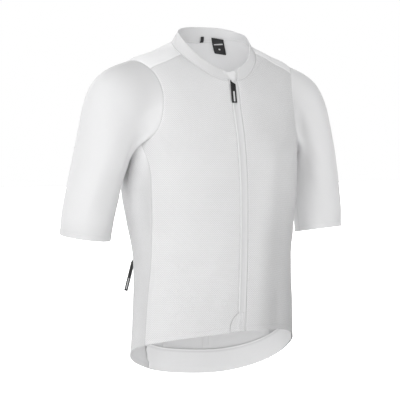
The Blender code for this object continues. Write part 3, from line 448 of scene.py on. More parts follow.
def side_line(column, start):
    """A side seam as (its angle at a ring, the ring it starts at, the ring at the mean hem)."""
    rows = [(start[1], start[0])] + [(r[0], r[column]) for r in SIDE_SEAMS]
    angle_at = natural_spline([r[0] for r in rows], [r[1] for r in rows])
    end = start[1]
    for _ in range(30):
        end = float(0.5*(hem_ring(angle_at(end)[..., 0]) + hem_ring(-angle_at(end)[..., 0])))
    return angle_at, float(start[1]), end


LINE_FRONT = side_line(1, ARM_FRONT[-1])
LINE_BACK = side_line(2, ARM_SIDE[-1])


def side_at(seam, t, side):
    """Stations down a side seam, t from 0 at the armhole to 1 at the hem of that side."""
    angle_at, start, end = seam
    t = np.asarray(t, float)
    ring = start + (end - start)*t
    angle = angle_at(ring)[..., 0]
    foot = float(hem_ring(side*angle_at(end)[..., 0]))
    return np.stack([angle, ring + t**2*(foot - end)], -1)


def shares(length, cell=CELL, start=False, end=False, hem=False):
    """Shares 0 to 1 along an edge of the given length, in even cells, closer beside sewn ends and at the hem's step."""
    out = np.linspace(0, 1, max(int(round(length/cell)), 2) + 1)
    near = np.array(NEAR)/length
    clear = near[-1] + 0.45*cell/length
    if start:
        out = np.concatenate([[0.0], near, out[out > clear]])
    if end:
        out = np.concatenate([out[out < 1 - clear], 1 - near[::-1], [1.0]])
    if hem:
        step = np.array([0.0007, HEM_BAND - 0.0011, HEM_BAND - 0.0004, HEM_BAND + 0.0004, HEM_BAND + 0.0011])/length
        step = step[step < 0.5]
        for s in step:
            out = out[np.abs(out - (1 - s)) > 0.25*cell/length]
        out = np.concatenate([out[out < 1], 1 - step, [1.0]])
    return np.unique(out.round(9))


def smooth(x, low, high):
    t = np.clip((np.asarray(x, float) - low)/(high - low), 0, 1)
    return t*t*(3 - 2*t)


# ------------------------------------------------------------------ seams, as runs of points with the cloth on both sides
SEAMS = {}


def add_seam(name, p, n, a, na, b, nb):
    """a and b are the ways into the two pieces, na and nb their normals, n the one they share."""
    SEAMS[name] = {"p": p, "n": n, "a": a, "na": na, "b": b, "nb": nb}


def into(p, n, like):
    """The way square to a run, in the cloth, on the side that like points to."""
    w = unit(np.cross(n, np.gradient(p, axis=0)))
    return w*np.where((w*like).sum(-1, keepdims=True) < 0, -1, 1)


SIDES = ((1, "left"), (-1, "right"))
for side, tag in SIDES:
    at = _shoulder(np.linspace(0, 1, 150))
    p, n = torso(side*at[:, 0], at[:, 1]), torso_normal(side*at[:, 0], at[:, 1])
    w = into(p, n, np.array([0.0, -1.0, 0.0]))
    add_seam("shoulder_" + tag, p, n, w, n, -w, n)

    phi = np.linspace(0, 360, 521)
    at = arm_at(phi)
    p, n = torso(side*at[:, 0], at[:, 1]), torso_normal(side*at[:, 0], at[:, 1])
    way, shared = mirror(sleeve_start(phi, side)[3], side), arm_normal(phi, side)
    own = unit(np.cross(np.gradient(p, axis=0), way))
    own = own*np.where((own*shared).sum(-1, keepdims=True) < 0, -1, 1)
    add_seam("arm_" + tag, p, shared, into(p, n, -way), n, way, own)

    for name, seam, forward in (("side_front_", LINE_FRONT, -1.0), ("side_back_", LINE_BACK, 1.0)):
        at = side_at(seam, np.linspace(0, 1, 400), side)
        p, n = torso(side*at[:, 0], at[:, 1]), torso_normal(side*at[:, 0], at[:, 1])
        w = into(p, n, np.array([0.0, forward, 0.0]))
        add_seam(name + tag, p, n, w, n, -w, n)

    ring = np.linspace(0, float(hem_ring(0.0)), 500)
    angle = angle_of_x(side*ZIP_HALF, ring)
    p, n = torso(angle, ring), torso_normal(angle, ring)
    w = into(p, n, np.array([float(side), 0.0, 0.0]))
    add_seam("zip_" + tag, p, n, w, n, -w, n)

_start = float(angle_of_x(ZIP_HALF, 0.0))
angle = np.linspace(_start, 360 - _start, 560)
p = torso(angle, 0*angle)
add_seam("neck", p, neck_normal(angle), unit(torso(angle, 0*angle + 0.1) - p), torso_normal(angle, 0*angle),
         unit(collar_point(angle, 0*angle + 0.3) - p), collar_normal(angle, 0*angle))
angle = np.linspace(-_start, _start, 24)
ZIP_TOP = torso(angle, 0*angle)


def tree(runs):
    points = np.concatenate(runs)
    kd = KDTree(len(points))
    for i, q in enumerate(points):
        kd.insert(Vector(q), i)
    kd.balance()
    return kd


_names = list(SEAMS)
ALL_POINTS = [SEAMS[k]["p"] for k in _names] + [ZIP_TOP]
ALL_NORMALS = np.concatenate([SEAMS[k]["n"] for k in _names] + [neck_normal(angle)])
ALL_TREE = tree(ALL_POINTS)
RIDGE_TREES = {
    "body": tree([SEAMS[k]["p"] for k in _names if k.startswith(("arm", "side_front", "side_back"))]),
    "back": tree([SEAMS[k]["p"] for k in _names if k.startswith(("arm", "shoulder"))]),
}


def nearest(kd, points):
    found = [kd.find(Vector(q))[1:] for q in points]
    return np.array([f[0] for f in found]), np.array([f[1] for f in found])


# ------------------------------------------------------------------ folds and drape
FOLD_COLUMNS = ("where", "start", "middle", "end", "half_width", "height")
FOLDS = [                 # stations of each end; a valley has a negative height
    ("torso",  (-52, 5.30), (-44, 5.62), (-34, 5.75), 0.0050, -0.0010),
    ("torso",  (-53, 5.60), (-46, 6.05), (-38, 6.35), 0.0050, 0.0009),
    ("torso",  (-56, 5.85), (-50, 6.45), (-45, 7.00), 0.0045, -0.0008),
    ("torso",  (52, 5.30), (44, 5.62), (34, 5.75), 0.0050, -0.0010),
    ("torso",  (53, 5.60), (46, 6.05), (38, 6.35), 0.0050, 0.0009),
    ("torso",  (-70, 8.40), (-48, 8.75), (-22, 8.95), 0.0110, 0.0012),
    ("torso",  (-68, 8.95), (-46, 9.22), (-18, 9.28), 0.0100, -0.0010),
    ("torso",  (24, 8.70), (44, 8.60), (66, 8.25), 0.0110, 0.0011),
    ("torso",  (22, 9.25), (42, 9.20), (64, 8.95), 0.0100, -0.0010),
    ("torso",  (20, 10.2), (21, 11.0), (24, 12.0), 0.0120, 0.0014),
    ("torso",  (31, 10.0), (32, 11.0), (34, 12.1), 0.0110, -0.0016),
    ("sleeve_right", (70, 0.16), (62, 0.50), (58, 0.93), 0.0110, 0.0011),
    ("sleeve_right", (96, 0.30), (92, 0.55), (88, 0.90), 0.0100, -0.0009),
    ("sleeve_right", (128, 0.10), (118, 0.30), (112, 0.52), 0.0070, -0.0011),
    ("sleeve_right", (140, 0.08), (134, 0.30), (128, 0.56), 0.0070, 0.0010),
    ("sleeve_left", (60, 0.20), (52, 0.50), (46, 0.90), 0.0110, 0.0010),
    ("sleeve_left", (120, 0.12), (106, 0.34), (96, 0.60), 0.0080, -0.0012),
    ("sleeve_left", (136, 0.10), (128, 0.34), (118, 0.66), 0.0080, 0.0010),
    ("torso",  (128, 5.0), (140, 5.9), (156, 6.3), 0.0120, -0.0012),
    ("torso",  (232, 5.0), (220, 5.9), (204, 6.3), 0.0120, -0.0012),
    ("torso",  (126, 4.2), (138, 4.7), (152, 4.8), 0.0110, 0.0010),
    ("torso",  (234, 4.2), (222, 4.7), (208, 4.8), 0.0110, 0.0010),
]
FOLDS += [                # broad set of the far front, and soft bands across the near one
    ("torso",  (22, 5.2), (19, 8.4), (15, 12.3), 0.0270, 0.0056),
    ("torso",  (-60, 6.4), (-65.5, 9.0), (-71.5, 12.1), 0.0110, 0.0017),
    ("torso",  (60, 6.4), (65.5, 9.0), (71.5, 12.1), 0.0110, 0.0017),
    ("torso",  (-79, 6.15), (-87, 6.65), (-91, 7.8), 0.0060, -0.0028),
    ("sleeve_right", (122, 0.12), (137, 0.33), (147, 0.56), 0.0170, -0.0075),
    ("torso",  (-48, 6.6), (-34, 6.75), (-18, 6.8), 0.0100, 0.0008),
    ("torso",  (-18, 8.8), (-26, 10.0), (-36, 11.3), 0.0130, 0.0010),
]
WAVES = [                 # cycles per metre along x, y, z, start, height
    (7.0, 5.0, 9.0, 0.3, 0.00022),
    (-11.0, 6.0, 8.0, 1.9, 0.00018),
    (4.0, -9.0, 15.0, 4.1, 0.00014),
    (16.0, 3.0, -12.0, 2.7, 0.00010),
]


def fold_path(where, stations):
    """Nine points on the bare form along a fold."""
    t = np.linspace(0, 1, 9)[:, None]
    a, b, c = np.array(stations, float)
    q = a*(1 - t)*(1 - 2*t) + b*4*t*(1 - t) + c*t*(2*t - 1)
    if where == "torso":
        return torso(q[:, 0], q[:, 1])
    side = 1 if where.endswith("left") else -1
    return mirror(sleeve_point(q[:, 0], q[:, 1], side), side)


FOLD_PATHS = [(f[0], fold_path(f[0], f[1:4]), f[4], f[5]) for f in FOLDS]


def drape(points, part):
    """How far the cloth stands off the bare form: the folds that belong to this part and a slow waviness."""
    out = np.zeros(len(points))
    for cx, cy, cz, start, height in WAVES:
        out += height*np.sin(2*np.pi*(points[:, 0]*cx + points[:, 1]*cy + points[:, 2]*cz) + start)
    for where, path, width, height in FOLD_PATHS:
        if where != part:
            continue
        low, high = path.min(0) - 3*width, path.max(0) + 3*width
        near = np.nonzero(((points > low) & (points < high)).all(1))[0]
        if not len(near):
            continue
        q = points[near]
        best, along = np.full(len(q), 9.0), np.zeros(len(q))
        for i in range(len(path) - 1):
            d = path[i + 1] - path[i]
            t = np.clip(((q - path[i])@d)/(d@d), 0, 1)
            gap = np.linalg.norm(q - path[i] - t[:, None]*d, axis=1)
            closer = gap < best
            best, along = np.where(closer, gap, best), np.where(closer, (i + t)/(len(path) - 1), along)
        out[near] += height*np.exp(-(best/width)**2)*np.sin(np.pi*np.clip(0.08 + 0.84*along, 0, 1))**0.8
    return out


# the fold under the arm, station by ring, which places the painted shade behind it and the painted light on the side
# panels before it; then the painted shade of the left front, most of all below the chest
ARM_FOLD = {"ring": (5.95, 6.02, 6.48, 6.98, 7.50), "angle": (76.0, 78.0, 85.5, 90.5, 92.0)}


def painted_body_shading(angle, ring):
    """Painted shade of the body cloth by station: in the fold under each arm and over the left front, most of all below
    the chest, with a painted lighter patch low on the right front.
    """
    angle, ring = np.broadcast_arrays(angle, ring)
    past = np.abs(angle) - np.interp(ring, ARM_FOLD["ring"], ARM_FOLD["angle"])
    # painted shade in the fold under each arm, up to 46% darker just behind the crease
    fold = smooth(past, -0.5, 1.5)*(1 - smooth(past, 6.0, 14.0))*(1 - smooth(ring, 6.50, 7.10))
    # painted shade over the left front: low down, below the chest, beside the side seam and at the top
    front = 0.070*smooth(angle, 2.0, 9.0)*smooth(ring, 9.0, 11.2) + 0.105*smooth(angle, 8.0, 19.0)*smooth(ring, 6.6, 8.6)
    front = front + 0.050*smooth(angle, 36.0, 52.0)*smooth(ring, 5.8, 7.6)
    front = front + 0.065*smooth(angle, 4.0, 16.0)*(1 - smooth(ring, 4.6, 6.2))
    # painted highlight: a lighter patch low on the right front
    front = front - 0.035*np.exp(-((angle + 16)/12)**2)*np.exp(-((ring - 9.5)/1.6)**2)
    return (1 - 0.46*fold - front*(1 - smooth(angle, 80.0, 120.0))).ravel()


def side_tone(angle, ring):
    """The side panels are a greyer mesh than the front; painted light makes their upper part lighter towards the fold
    under the arm, and low down they are a little darker towards the front and lighter towards the back.
    """
    past = np.abs(angle) - np.interp(ring, ARM_FOLD["ring"], ARM_FOLD["angle"])
    low = smooth(ring, 9.0, 11.0)*(0.08*smooth(past, -18.0, -2.0) - 0.025)
    return (0.91 + low + 0.35*smooth(past, -27.0, -7.0)*(1 - smooth(ring, 7.2, 8.6))).ravel()


def lie(points, normals, part, ridge=None, above_hem=None, seams=True):
    """Lay cloth on the form: folds, hem step, and the pull, roll and darker line of every seam, with a painted
    highlight on the roll.
    """
    lift = drape(points, part)
    tone = np.ones(len(points))
    if seams:
        index, gap = nearest(ALL_TREE, points)
        calm = smooth(gap, 0.0, 0.012)
        lift = lift*(0.35 + 0.65*calm) - DIP*np.clip(1 - gap/DIP_REACH, 0, 1)**1.4
        weight = np.clip(1 - gap/0.0035, 0, 1)[:, None]
        normals = unit(normals*(1 - weight) + ALL_NORMALS[index]*weight)
        tone = tone - 0.16*np.exp(-(gap/0.0007)**2)
        if ridge:
            off = nearest(RIDGE_TREES[ridge], points)[1]
            lift = lift + RIDGE*np.exp(-((off - RIDGE_AT)/RIDGE_WIDTH)**2)
            # painted highlight: the roll beside each seam is painted 2% lighter
            tone = tone + 0.02*np.exp(-((off - RIDGE_AT)/RIDGE_WIDTH)**2)
    if above_hem is not None:
        lift = lift + HEM_RISE*(1 - smooth(above_hem, HEM_BAND - 0.0006, HEM_BAND + 0.0006))
        tone = tone - 0.035*np.exp(-((above_hem - HEM_BAND - 0.0006)/0.0007)**2)
    return points + normals*lift[:, None], normals, tone


# ------------------------------------------------------------------ meshes
def make(name, points, faces, corner_uv, finish, slot, body="jersey", nodes=(), tone=None, sharp=48):
    """Object from points and faces, with its cut in metres as UV and its tone as an attribute."""
    mesh = bpy.data.meshes.new(name)
    mesh.from_pydata(np.asarray(points).tolist(), [], [list(f) for f in faces])
    layer = mesh.uv_layers.new(name="cut")
    layer.data.foreach_set("uv", np.asarray(corner_uv, float).ravel())
    shade = mesh.attributes.new("tone", "FLOAT", "POINT")
    shade.data.foreach_set("value", np.ones(len(points)) if tone is None else np.asarray(tone, float))
    mesh.materials.append(finish)
    mesh.shade_smooth()
    mesh.set_sharp_from_angle(angle=math.radians(sharp))
    obj = bpy.data.objects.new(name, mesh)
    bpy.context.collection.objects.link(obj)
    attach(obj, body)
    if nodes:
        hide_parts(*nodes)
    return obj


def shell(name, outer, normals, quads, corner_uv, thickness, finish, slot, tone=None, slit=True, bulge=0.4, **more):
    """Closed thin shell of one piece: outer face, inner face, and rounded cut edges between them."""
    outer, quads = np.asarray(outer, float), np.asarray(quads)
    n = len(outer)
    pull = np.zeros_like(outer)
    np.add.at(pull, quads.ravel(), (outer[quads].mean(1)[:, None] - outer[quads]).reshape(-1, 3))
    edges = np.stack([quads, np.roll(quads, -1, 1)], -1).reshape(-1, 2)
    code = edges.min(1).astype(np.int64)*n + edges.max(1)
    _, inverse, count = np.unique(code, return_inverse=True, return_counts=True)
    rim = np.nonzero(count[inverse] == 1)[0]
    ends = edges[rim]
    on_rim = np.unique(ends)
    away = -pull[on_rim]
    away -= normals[on_rim]*(away*normals[on_rim]).sum(-1, keepdims=True)
    away = unit(away)
    if slit:
        outer = outer.copy()
        gap = nearest(ALL_TREE, outer[on_rim])[1]
        outer[on_rim] -= away*np.where(gap < 0.0012, SLIT, 0.0)[:, None]
    depth = np.broadcast_to(thickness, (n,))[:, None]
    inner = outer - normals*depth
    middle = (outer[on_rim] + inner[on_rim])/2 + away*depth[on_rim]*bulge
    at = np.full(n, -1)
    at[on_rim] = 2*n + np.arange(len(on_rim))
    i, j = ends[:, 0], ends[:, 1]
    q, c = rim//4, rim % 4
    uv_i, uv_j = corner_uv[q, c], corner_uv[q, (c + 1) % 4]
    faces = np.concatenate([quads, quads[:, ::-1] + n, np.stack([j, i, at[i], at[j]], -1), np.stack([at[j], at[i], i + n, j + n], -1)])
    uv = np.concatenate([corner_uv, corner_uv[:, ::-1], np.stack([uv_j, uv_i, uv_i, uv_j], 1), np.stack([uv_j, uv_i, uv_i, uv_j], 1)])
    points = np.concatenate([outer, inner, middle])
    tri = np.concatenate([faces[:, [0, 1, 2]], faces[:, [0, 2, 3]]])
    a, b, c_ = (points[tri[:, k]] for k in range(3))
    if (a*np.cross(b, c_)).sum() < 0:
        faces, uv = faces[:, ::-1], uv[:, ::-1]
    if tone is not None:
        tone = np.concatenate([tone, tone, tone[on_rim]])
    obj = make(name, points, faces, uv, finish, slot, tone=tone, **more)
    obj["flat_area"] = float(np.linalg.norm(np.cross(outer[quads[:, 2]] - outer[quads[:, 0]],
                                                     outer[quads[:, 3]] - outer[quads[:, 1]]), axis=1).sum()/2)
    return obj


def grid_quads(rows, cols, closed=False):
    """Quads of a grid and, for each corner, where its UV is in a grid that has one more column when it is closed."""
    last = cols if closed else cols - 1
    i, j = (a.ravel() for a in np.meshgrid(np.arange(rows - 1), np.arange(last), indexing="ij"))
    k = (j + 1) % cols
    quads = np.stack([i*cols + j, (i + 1)*cols + j, (i + 1)*cols + k, i*cols + k], -1)
    wide = last + 1
    corners = np.stack([i*wide + j, (i + 1)*wide + j, (i + 1)*wide + j + 1, i*wide + j + 1], -1)
    return quads, corners


def cut_uv(grid, level_row=0, from_col=0, closed=False):
    """Flat pattern of a grid: distance along its rows from one column, and along its columns from one row, upwards."""
    g = np.concatenate([grid, grid[:, :1]], 1) if closed else grid
    u = np.concatenate([np.zeros((len(g), 1)), np.cumsum(np.linalg.norm(np.diff(g, axis=1), axis=-1), 1)], 1)
    v = np.concatenate([np.zeros((1, g.shape[1])), -np.cumsum(np.linalg.norm(np.diff(g, axis=0), axis=-1), 0)], 0)
    return np.stack([u - u[:, from_col:from_col + 1], v - v[level_row]], -1)


def extent(grid, closed=False):
    """Widest row and longest column of a grid."""
    uv = cut_uv(grid, closed=closed)
    return float(np.ptp(uv[..., 0], axis=1).max()), float(np.ptp(uv[..., 1], axis=0).max())


def declare(obj, size, with_pieces=(), rests_on=("collar",)):
    """State the cut of a cloth piece: flat width and length, and its area where it isn't a rectangle."""
    w, l = max(size[0], 0.0101)*1.002, max(size[1], 0.0101)*1.002
    area = min(max(obj["flat_area"], 0.301*w*l), w*l)
    list(with_pieces)
    CUTS.append((obj.name, round(w, 4), round(l, 4), round(area, 5)))


CUTS = []


def grid_piece(name, grid, normals, thickness, finish, slot, closed=False, tone=None, level_row=0, from_col=0, **more):
    rows, cols = grid.shape[:2]
    quads, corners = grid_quads(rows, cols, closed)
    uv = cut_uv(grid, level_row, from_col, closed).reshape(-1, 2)[corners]
    return shell(name, grid.reshape(-1, 3), normals.reshape(-1, 3), quads, uv, thickness, finish, slot,
                 tone=None if tone is None else np.asarray(tone).ravel(), **more)


# ------------------------------------------------------------------ finishes
class Graph:
    """Short hand for a material's nodes."""

    def __init__(self, name, colour, roughness, sheen=0.0, sheen_roughness=0.4, specular=0.4, subsurface=0.0):
        self.material = bpy.data.materials.new(name)
        self.material.use_nodes = True
        self.tree = self.material.node_tree
        self.shader = self.tree.nodes["Principled BSDF"]
        s = self.shader.inputs
        s["Base Color"].default_value = (*colour, 1.0)
        s["Roughness"].default_value = roughness
        s["Sheen Weight"].default_value = sheen
        s["Sheen Roughness"].default_value = sheen_roughness
        s["Specular IOR Level"].default_value = specular
        self.material.diffuse_color = (*colour, 1.0)
        self.colour = colour

    def put(self, value, socket):
        if hasattr(value, "is_output"):
            self.tree.links.new(value, socket)
        else:
            socket.default_value = value

    def node(self, kind, settings=None, out=0, **inputs):
        node = self.tree.nodes.new(kind)
        for key, value in (settings or {}).items():
            setattr(node, key, value)
        for key, value in inputs.items():
            self.put(value, node.inputs[int(key[1:])] if key[0] == "_" and key[1:].isdigit() else node.inputs[key.replace("_", " ")])
        return node.outputs[out]

    def math(self, op, a, b=0.0, c=0.0, clamp=False):
        return self.node("ShaderNodeMath", {"operation": op, "use_clamp": clamp}, _0=a, _1=b, _2=c)

    def uv(self):
        return self.node("ShaderNodeUVMap", {"uv_map": "cut"})

    def place(self):
        return self.node("ShaderNodeTexCoord", out=3)

    def map(self, vector, scale, turn=0.0):
        return self.node("ShaderNodeMapping", Vector=vector, Scale=scale, Rotation=(0.0, 0.0, turn))

    def band(self, value, low, high, a, b):
        return self.node("ShaderNodeMapRange", {"interpolation_type": "SMOOTHSTEP"}, _0=value, _1=low, _2=high, _3=a, _4=b)

    def noise(self, vector, scale, detail=3.0, rough=0.5):
        return self.node("ShaderNodeTexNoise", Vector=vector, Scale=scale, Detail=detail, Roughness=rough)

    def tone(self):
        return self.node("ShaderNodeAttribute", {"attribute_name": "tone"}, out=2)

    def ribs(self, axis, pitch):
        """Rounded ribs along one way of the cut: 0 between them, 1 on top."""
        split = self.node("ShaderNodeSeparateXYZ", out=axis, Vector=self.uv())
        wave = self.math("SINE", self.math("MULTIPLY", split, 2*math.pi/pitch))
        return self.math("MULTIPLY_ADD", wave, 0.5, 0.5)

    def holes(self, pitch, radius, soft, stretch=1.0):
        """Staggered round holes, pitch apart along a row and half that between rows: 1 inside a hole."""
        cell = pitch/math.sqrt(2)
        v = self.map(self.uv(), (1.0, stretch, 1.0))
        v = self.map(v, (1/cell, 1/cell, 1.0), math.radians(45))
        far = self.node("ShaderNodeTexVoronoi", {"voronoi_dimensions": "2D", "feature": "F1"}, Vector=v, Scale=1.0, Randomness=0.0)
        return self.band(far, radius/cell - soft/cell, radius/cell + soft/cell, 1.0, 0.0)

    def tint(self, factor):
        """Colour times a grey factor."""
        grey = self.node("ShaderNodeCombineColor", _0=factor, _1=factor, _2=factor)
        mix = self.tree.nodes.new("ShaderNodeMix")
        mix.data_type, mix.blend_type = "RGBA", "MULTIPLY"
        mix.inputs[0].default_value = 1.0
        mix.inputs[6].default_value = (*self.colour, 1.0)
        self.tree.links.new(grey, mix.inputs[7])
        self.tree.links.new(mix.outputs[2], self.shader.inputs["Base Color"])

    def relief(self, height, distance, strength=1.0):
        bump = self.node("ShaderNodeBump", Strength=strength, Distance=distance, Height=height)
        self.tree.links.new(bump, self.shader.inputs["Normal"])


def knit(name, colour, roughness, pitch=None, radius=0.0, dark=0.9, rib=0.0009, rib_axis=0, rib_depth=0.00006,
         hole_depth=0.0002, rows=0.0, cloudy=0.02, sheen=0.15, stretch=1.0):
    """Knitted cloth: its loops, its holes if it is a mesh, and a slow unevenness of its white."""
    g = Graph(name, colour, roughness, sheen=sheen)
    place = g.place()
    cloud = g.math("MULTIPLY_ADD", g.noise(place, 14.0, 3.0), 2*cloudy, 1.0 - cloudy)
    fine = g.math("MULTIPLY_ADD", g.noise(place, 900.0, 2.0), 0.05, 0.975)
    shade = g.math("MULTIPLY", g.math("MULTIPLY", cloud, fine), g.tone())
    loops = g.ribs(rib_axis, rib)
    across = g.ribs(1 - rib_axis, rib*0.78)
    loop = g.math("MULTIPLY", loops, g.math("MULTIPLY_ADD", across, 0.5, 0.5))
    height = g.math("MULTIPLY", loop, rib_depth)
    if pitch:
        hole = g.holes(pitch, radius, radius*0.35, stretch)
        shade = g.math("MULTIPLY", shade, g.math("MULTIPLY_ADD", hole, dark - 1.0, 1.0))
        height = g.math("SUBTRACT", height, g.math("MULTIPLY", hole, hole_depth))
    if rows:
        lines = g.ribs(1, pitch or 0.004)
        shade = g.math("MULTIPLY", shade, g.math("MULTIPLY_ADD", lines, rows, 1.0 - rows/2))
        height = g.math("ADD", height, g.math("MULTIPLY", lines, 0.00006))
    shade = g.math("MULTIPLY", shade, g.math("MULTIPLY_ADD", loop, 0.03, 0.985))
    g.tint(shade)
    g.relief(height, 1.0)
    return g.material


def ribbed(name, colour, roughness, pitch, depth, sheen=0.1):
    """Elastic band: upright ribs over a fine cross-weave."""
    g = Graph(name, colour, roughness, sheen=sheen)
    rib = g.ribs(0, pitch)
    weave = g.ribs(1, 0.0011)
    cloud = g.math("MULTIPLY_ADD", g.noise(g.place(), 18.0, 3.0), 0.05, 0.975)
    shade = g.math("MULTIPLY", g.math("MULTIPLY", cloud, g.tone()), g.math("MULTIPLY_ADD", rib, 0.035, 0.975))
    g.tint(shade)
    g.relief(g.math("MULTIPLY", g.math("MULTIPLY", rib, g.math("MULTIPLY_ADD", weave, 0.25, 0.75)), depth), 1.0)
    return g.material


def film(name, colour, roughness, grain=0.00002, sheen=0.0, weave=None, plain=False):
    """Coated film, tape or moulding: smooth, with a fine grain and slight unevenness."""
    g = Graph(name, colour, roughness, sheen=sheen)
    place = g.place()
    cloud = g.math("MULTIPLY_ADD", g.noise(place, 22.0, 3.0), 0.05, 0.975)
    g.tint(cloud if plain else g.math("MULTIPLY", cloud, g.tone()))
    height = g.math("MULTIPLY", g.noise(place, 1600.0, 2.0), grain)
    if weave:
        woven = g.math("MULTIPLY", g.ribs(0, weave), g.ribs(1, weave))
        height = g.math("ADD", height, g.math("MULTIPLY", woven, 0.00005))
    g.relief(height, 1.0)
    rough = g.band(g.noise(place, 60.0, 2.0), 0.3, 0.7, roughness - 0.06, roughness + 0.06)
    g.tree.links.new(rough, g.shader.inputs["Roughness"])
    return g.material


WHITE = (0.74, 0.74, 0.745)
MESH = knit("perforated_mesh", (0.70, 0.70, 0.705), 0.85, pitch=0.0042, radius=0.00088, dark=0.84, rows=0.035, hole_depth=0.00025)
SIDE_MESH = knit("side_mesh", (0.72, 0.72, 0.725), 0.88, pitch=0.0026, radius=0.00062, dark=0.80, rows=0.0, hole_depth=0.0002)
STRETCH = knit("stretch_knit", WHITE, 0.70, rib=0.0007, rib_depth=0.00004, cloudy=0.012, sheen=0.2)
SLEEVE = knit("sleeve_knit", (0.68, 0.68, 0.685), 0.62, rib=0.0007, rib_depth=0.00003, cloudy=0.012, sheen=0.35)
COLLAR = knit("collar_knit", (0.63, 0.63, 0.635), 0.70, rib=0.0012, rib_axis=0, rib_depth=0.00005, cloudy=0.012, sheen=0.2)
BAND_RIB = ribbed("ribbed_elastic", (0.82, 0.82, 0.825), 0.80, 0.0024, 0.00010)
TAPE = film("seam_tape", (0.72, 0.72, 0.725), 0.55, weave=0.0008)
THREAD = film("thread", (0.76, 0.76, 0.765), 0.6, sheen=0.2)
ZIP_FILM = film("zip_cover_film", (0.63, 0.63, 0.635), 0.55)
BLACK = film("black_tape", (0.013, 0.013, 0.014), 0.50, weave=0.0006, sheen=0.05)
PALE = film("pale_print", (0.55, 0.55, 0.56), 0.45)
SATIN = film("satin_white", (0.72, 0.72, 0.725), 0.35)
MOULDED = film("satin_moulding", (0.68, 0.68, 0.685), 0.35, plain=True)


# ------------------------------------------------------------------ cloth pieces
def above(angle, points):
    """Height of points above the hem at their angle."""
    return points[:, 2] - hem_at(wrap(angle))[..., 0]


L_SHOULDER, L_ARM, L_ARM_BACK, L_SIDE, L_ACROSS = 0.125, 0.165, 0.155, 0.345, 0.195
PIECES = {}


def front_cloth(side):
    s = np.concatenate([shares(L_SHOULDER, start=True)*N_SHOULDER, N_SHOULDER + shares(L_ARM)[1:]*N_ARM_FRONT,
                        N_SHOULDER + N_ARM_FRONT + shares(L_SIDE, hem=True)[1:]*N_SIDE])
    arm_foot = N_SHOULDER + N_ARM_FRONT
    right = np.where((s <= N_SHOULDER)[:, None], _shoulder(np.clip(s/N_SHOULDER, 0, 1)),
                     arm_at(PHI_SHOULDER + (PHI_FRONT - PHI_SHOULDER)*np.clip((s - N_SHOULDER)/N_ARM_FRONT, 0, 1)))
    right = np.where((s > arm_foot)[:, None], side_at(LINE_FRONT, np.clip((s - arm_foot)/N_SIDE, 0, 1), side), right)
    ring = right[:, 1].copy()
    below = np.clip((ring - LINE_FRONT[1])/(ring[-1] - LINE_FRONT[1]), 0, 1)**2
    ring += below*(float(hem_ring(side*1.0)) - ring[-1])
    centre = np.stack([angle_of_x(ZIP_HALF, ring), ring], -1)
    share = shares(L_ACROSS, start=True, end=True)
    grid = centre[:, None]*(1 - share[None, :, None]) + right[:, None]*share[None, :, None]
    grid[0, :, 1] = 0.0
    hem = hem_ring(side*grid[-1, :, 0])
    grid[..., 1] += below[:, None]*(hem - grid[-1, :, 1])[None]
    angle, ring = side*grid[..., 0], grid[..., 1]
    p, n = torso(angle, ring).reshape(-1, 3), torso_normal(angle, ring).reshape(-1, 3)
    points, normals, tone = lie(p, n, "torso", "body", above(angle.ravel(), p))
    tone = tone*painted_body_shading(angle, ring)
    shape = angle.shape + (3,)
    tag = {1: "left", -1: "right"}[side]
    level = int(np.argmin(np.abs(s - arm_foot - 3)))
    obj = grid_piece("front_%s_cloth" % tag, points.reshape(shape), normals.reshape(shape), FABRIC, MESH, "mesh_cloth",
                     tone=tone, level_row=level, nodes=("front_" + tag,))
    PIECES["front_" + tag] = (obj, extent(points.reshape(shape)))


def side_cloth(side):
    v, u = shares(L_SIDE, start=True, hem=True), shares(0.150, start=True, end=True)
    left, right = side_at(LINE_FRONT, v, side), side_at(LINE_BACK, v, side)
    top = arm_at(PHI_FRONT + (PHI_BACK - PHI_FRONT)*u)
    hem_angle = left[-1, 0] + (right[-1, 0] - left[-1, 0])*u
    bottom = np.stack([hem_angle, hem_ring(side*hem_angle)], -1)
    grid = coons_at(top, bottom, left, right, u, v)
    angle, ring = side*grid[..., 0], grid[..., 1]
    p, n = torso(angle, ring).reshape(-1, 3), torso_normal(angle, ring).reshape(-1, 3)
    points, normals, tone = lie(p, n, "torso", None, above(angle.ravel(), p))
    tone = tone*painted_body_shading(angle, ring)*side_tone(angle, ring)
    shape = angle.shape + (3,)
    tag = {1: "left", -1: "right"}[side]
    obj = grid_piece("side_%s_cloth" % tag, points.reshape(shape), normals.reshape(shape), FABRIC, SIDE_MESH, "side_cloth",
                     tone=tone, level_row=len(v)//2, nodes=("side_" + tag,))
    PIECES["side_" + tag] = (obj, extent(points.reshape(shape)))


def coons_at(top, bottom, left, right, u, v):
    """Grid of stations between four seams that are sampled at shares u across and v down."""
    u, v = u[None, :, None], v[:, None, None]
    return ((1 - v)*top[None] + v*bottom[None] + (1 - u)*left[:, None] + u*right[:, None]
            - (1 - u)*(1 - v)*top[0] - u*(1 - v)*top[-1] - (1 - u)*v*bottom[0] - u*v*bottom[-1])


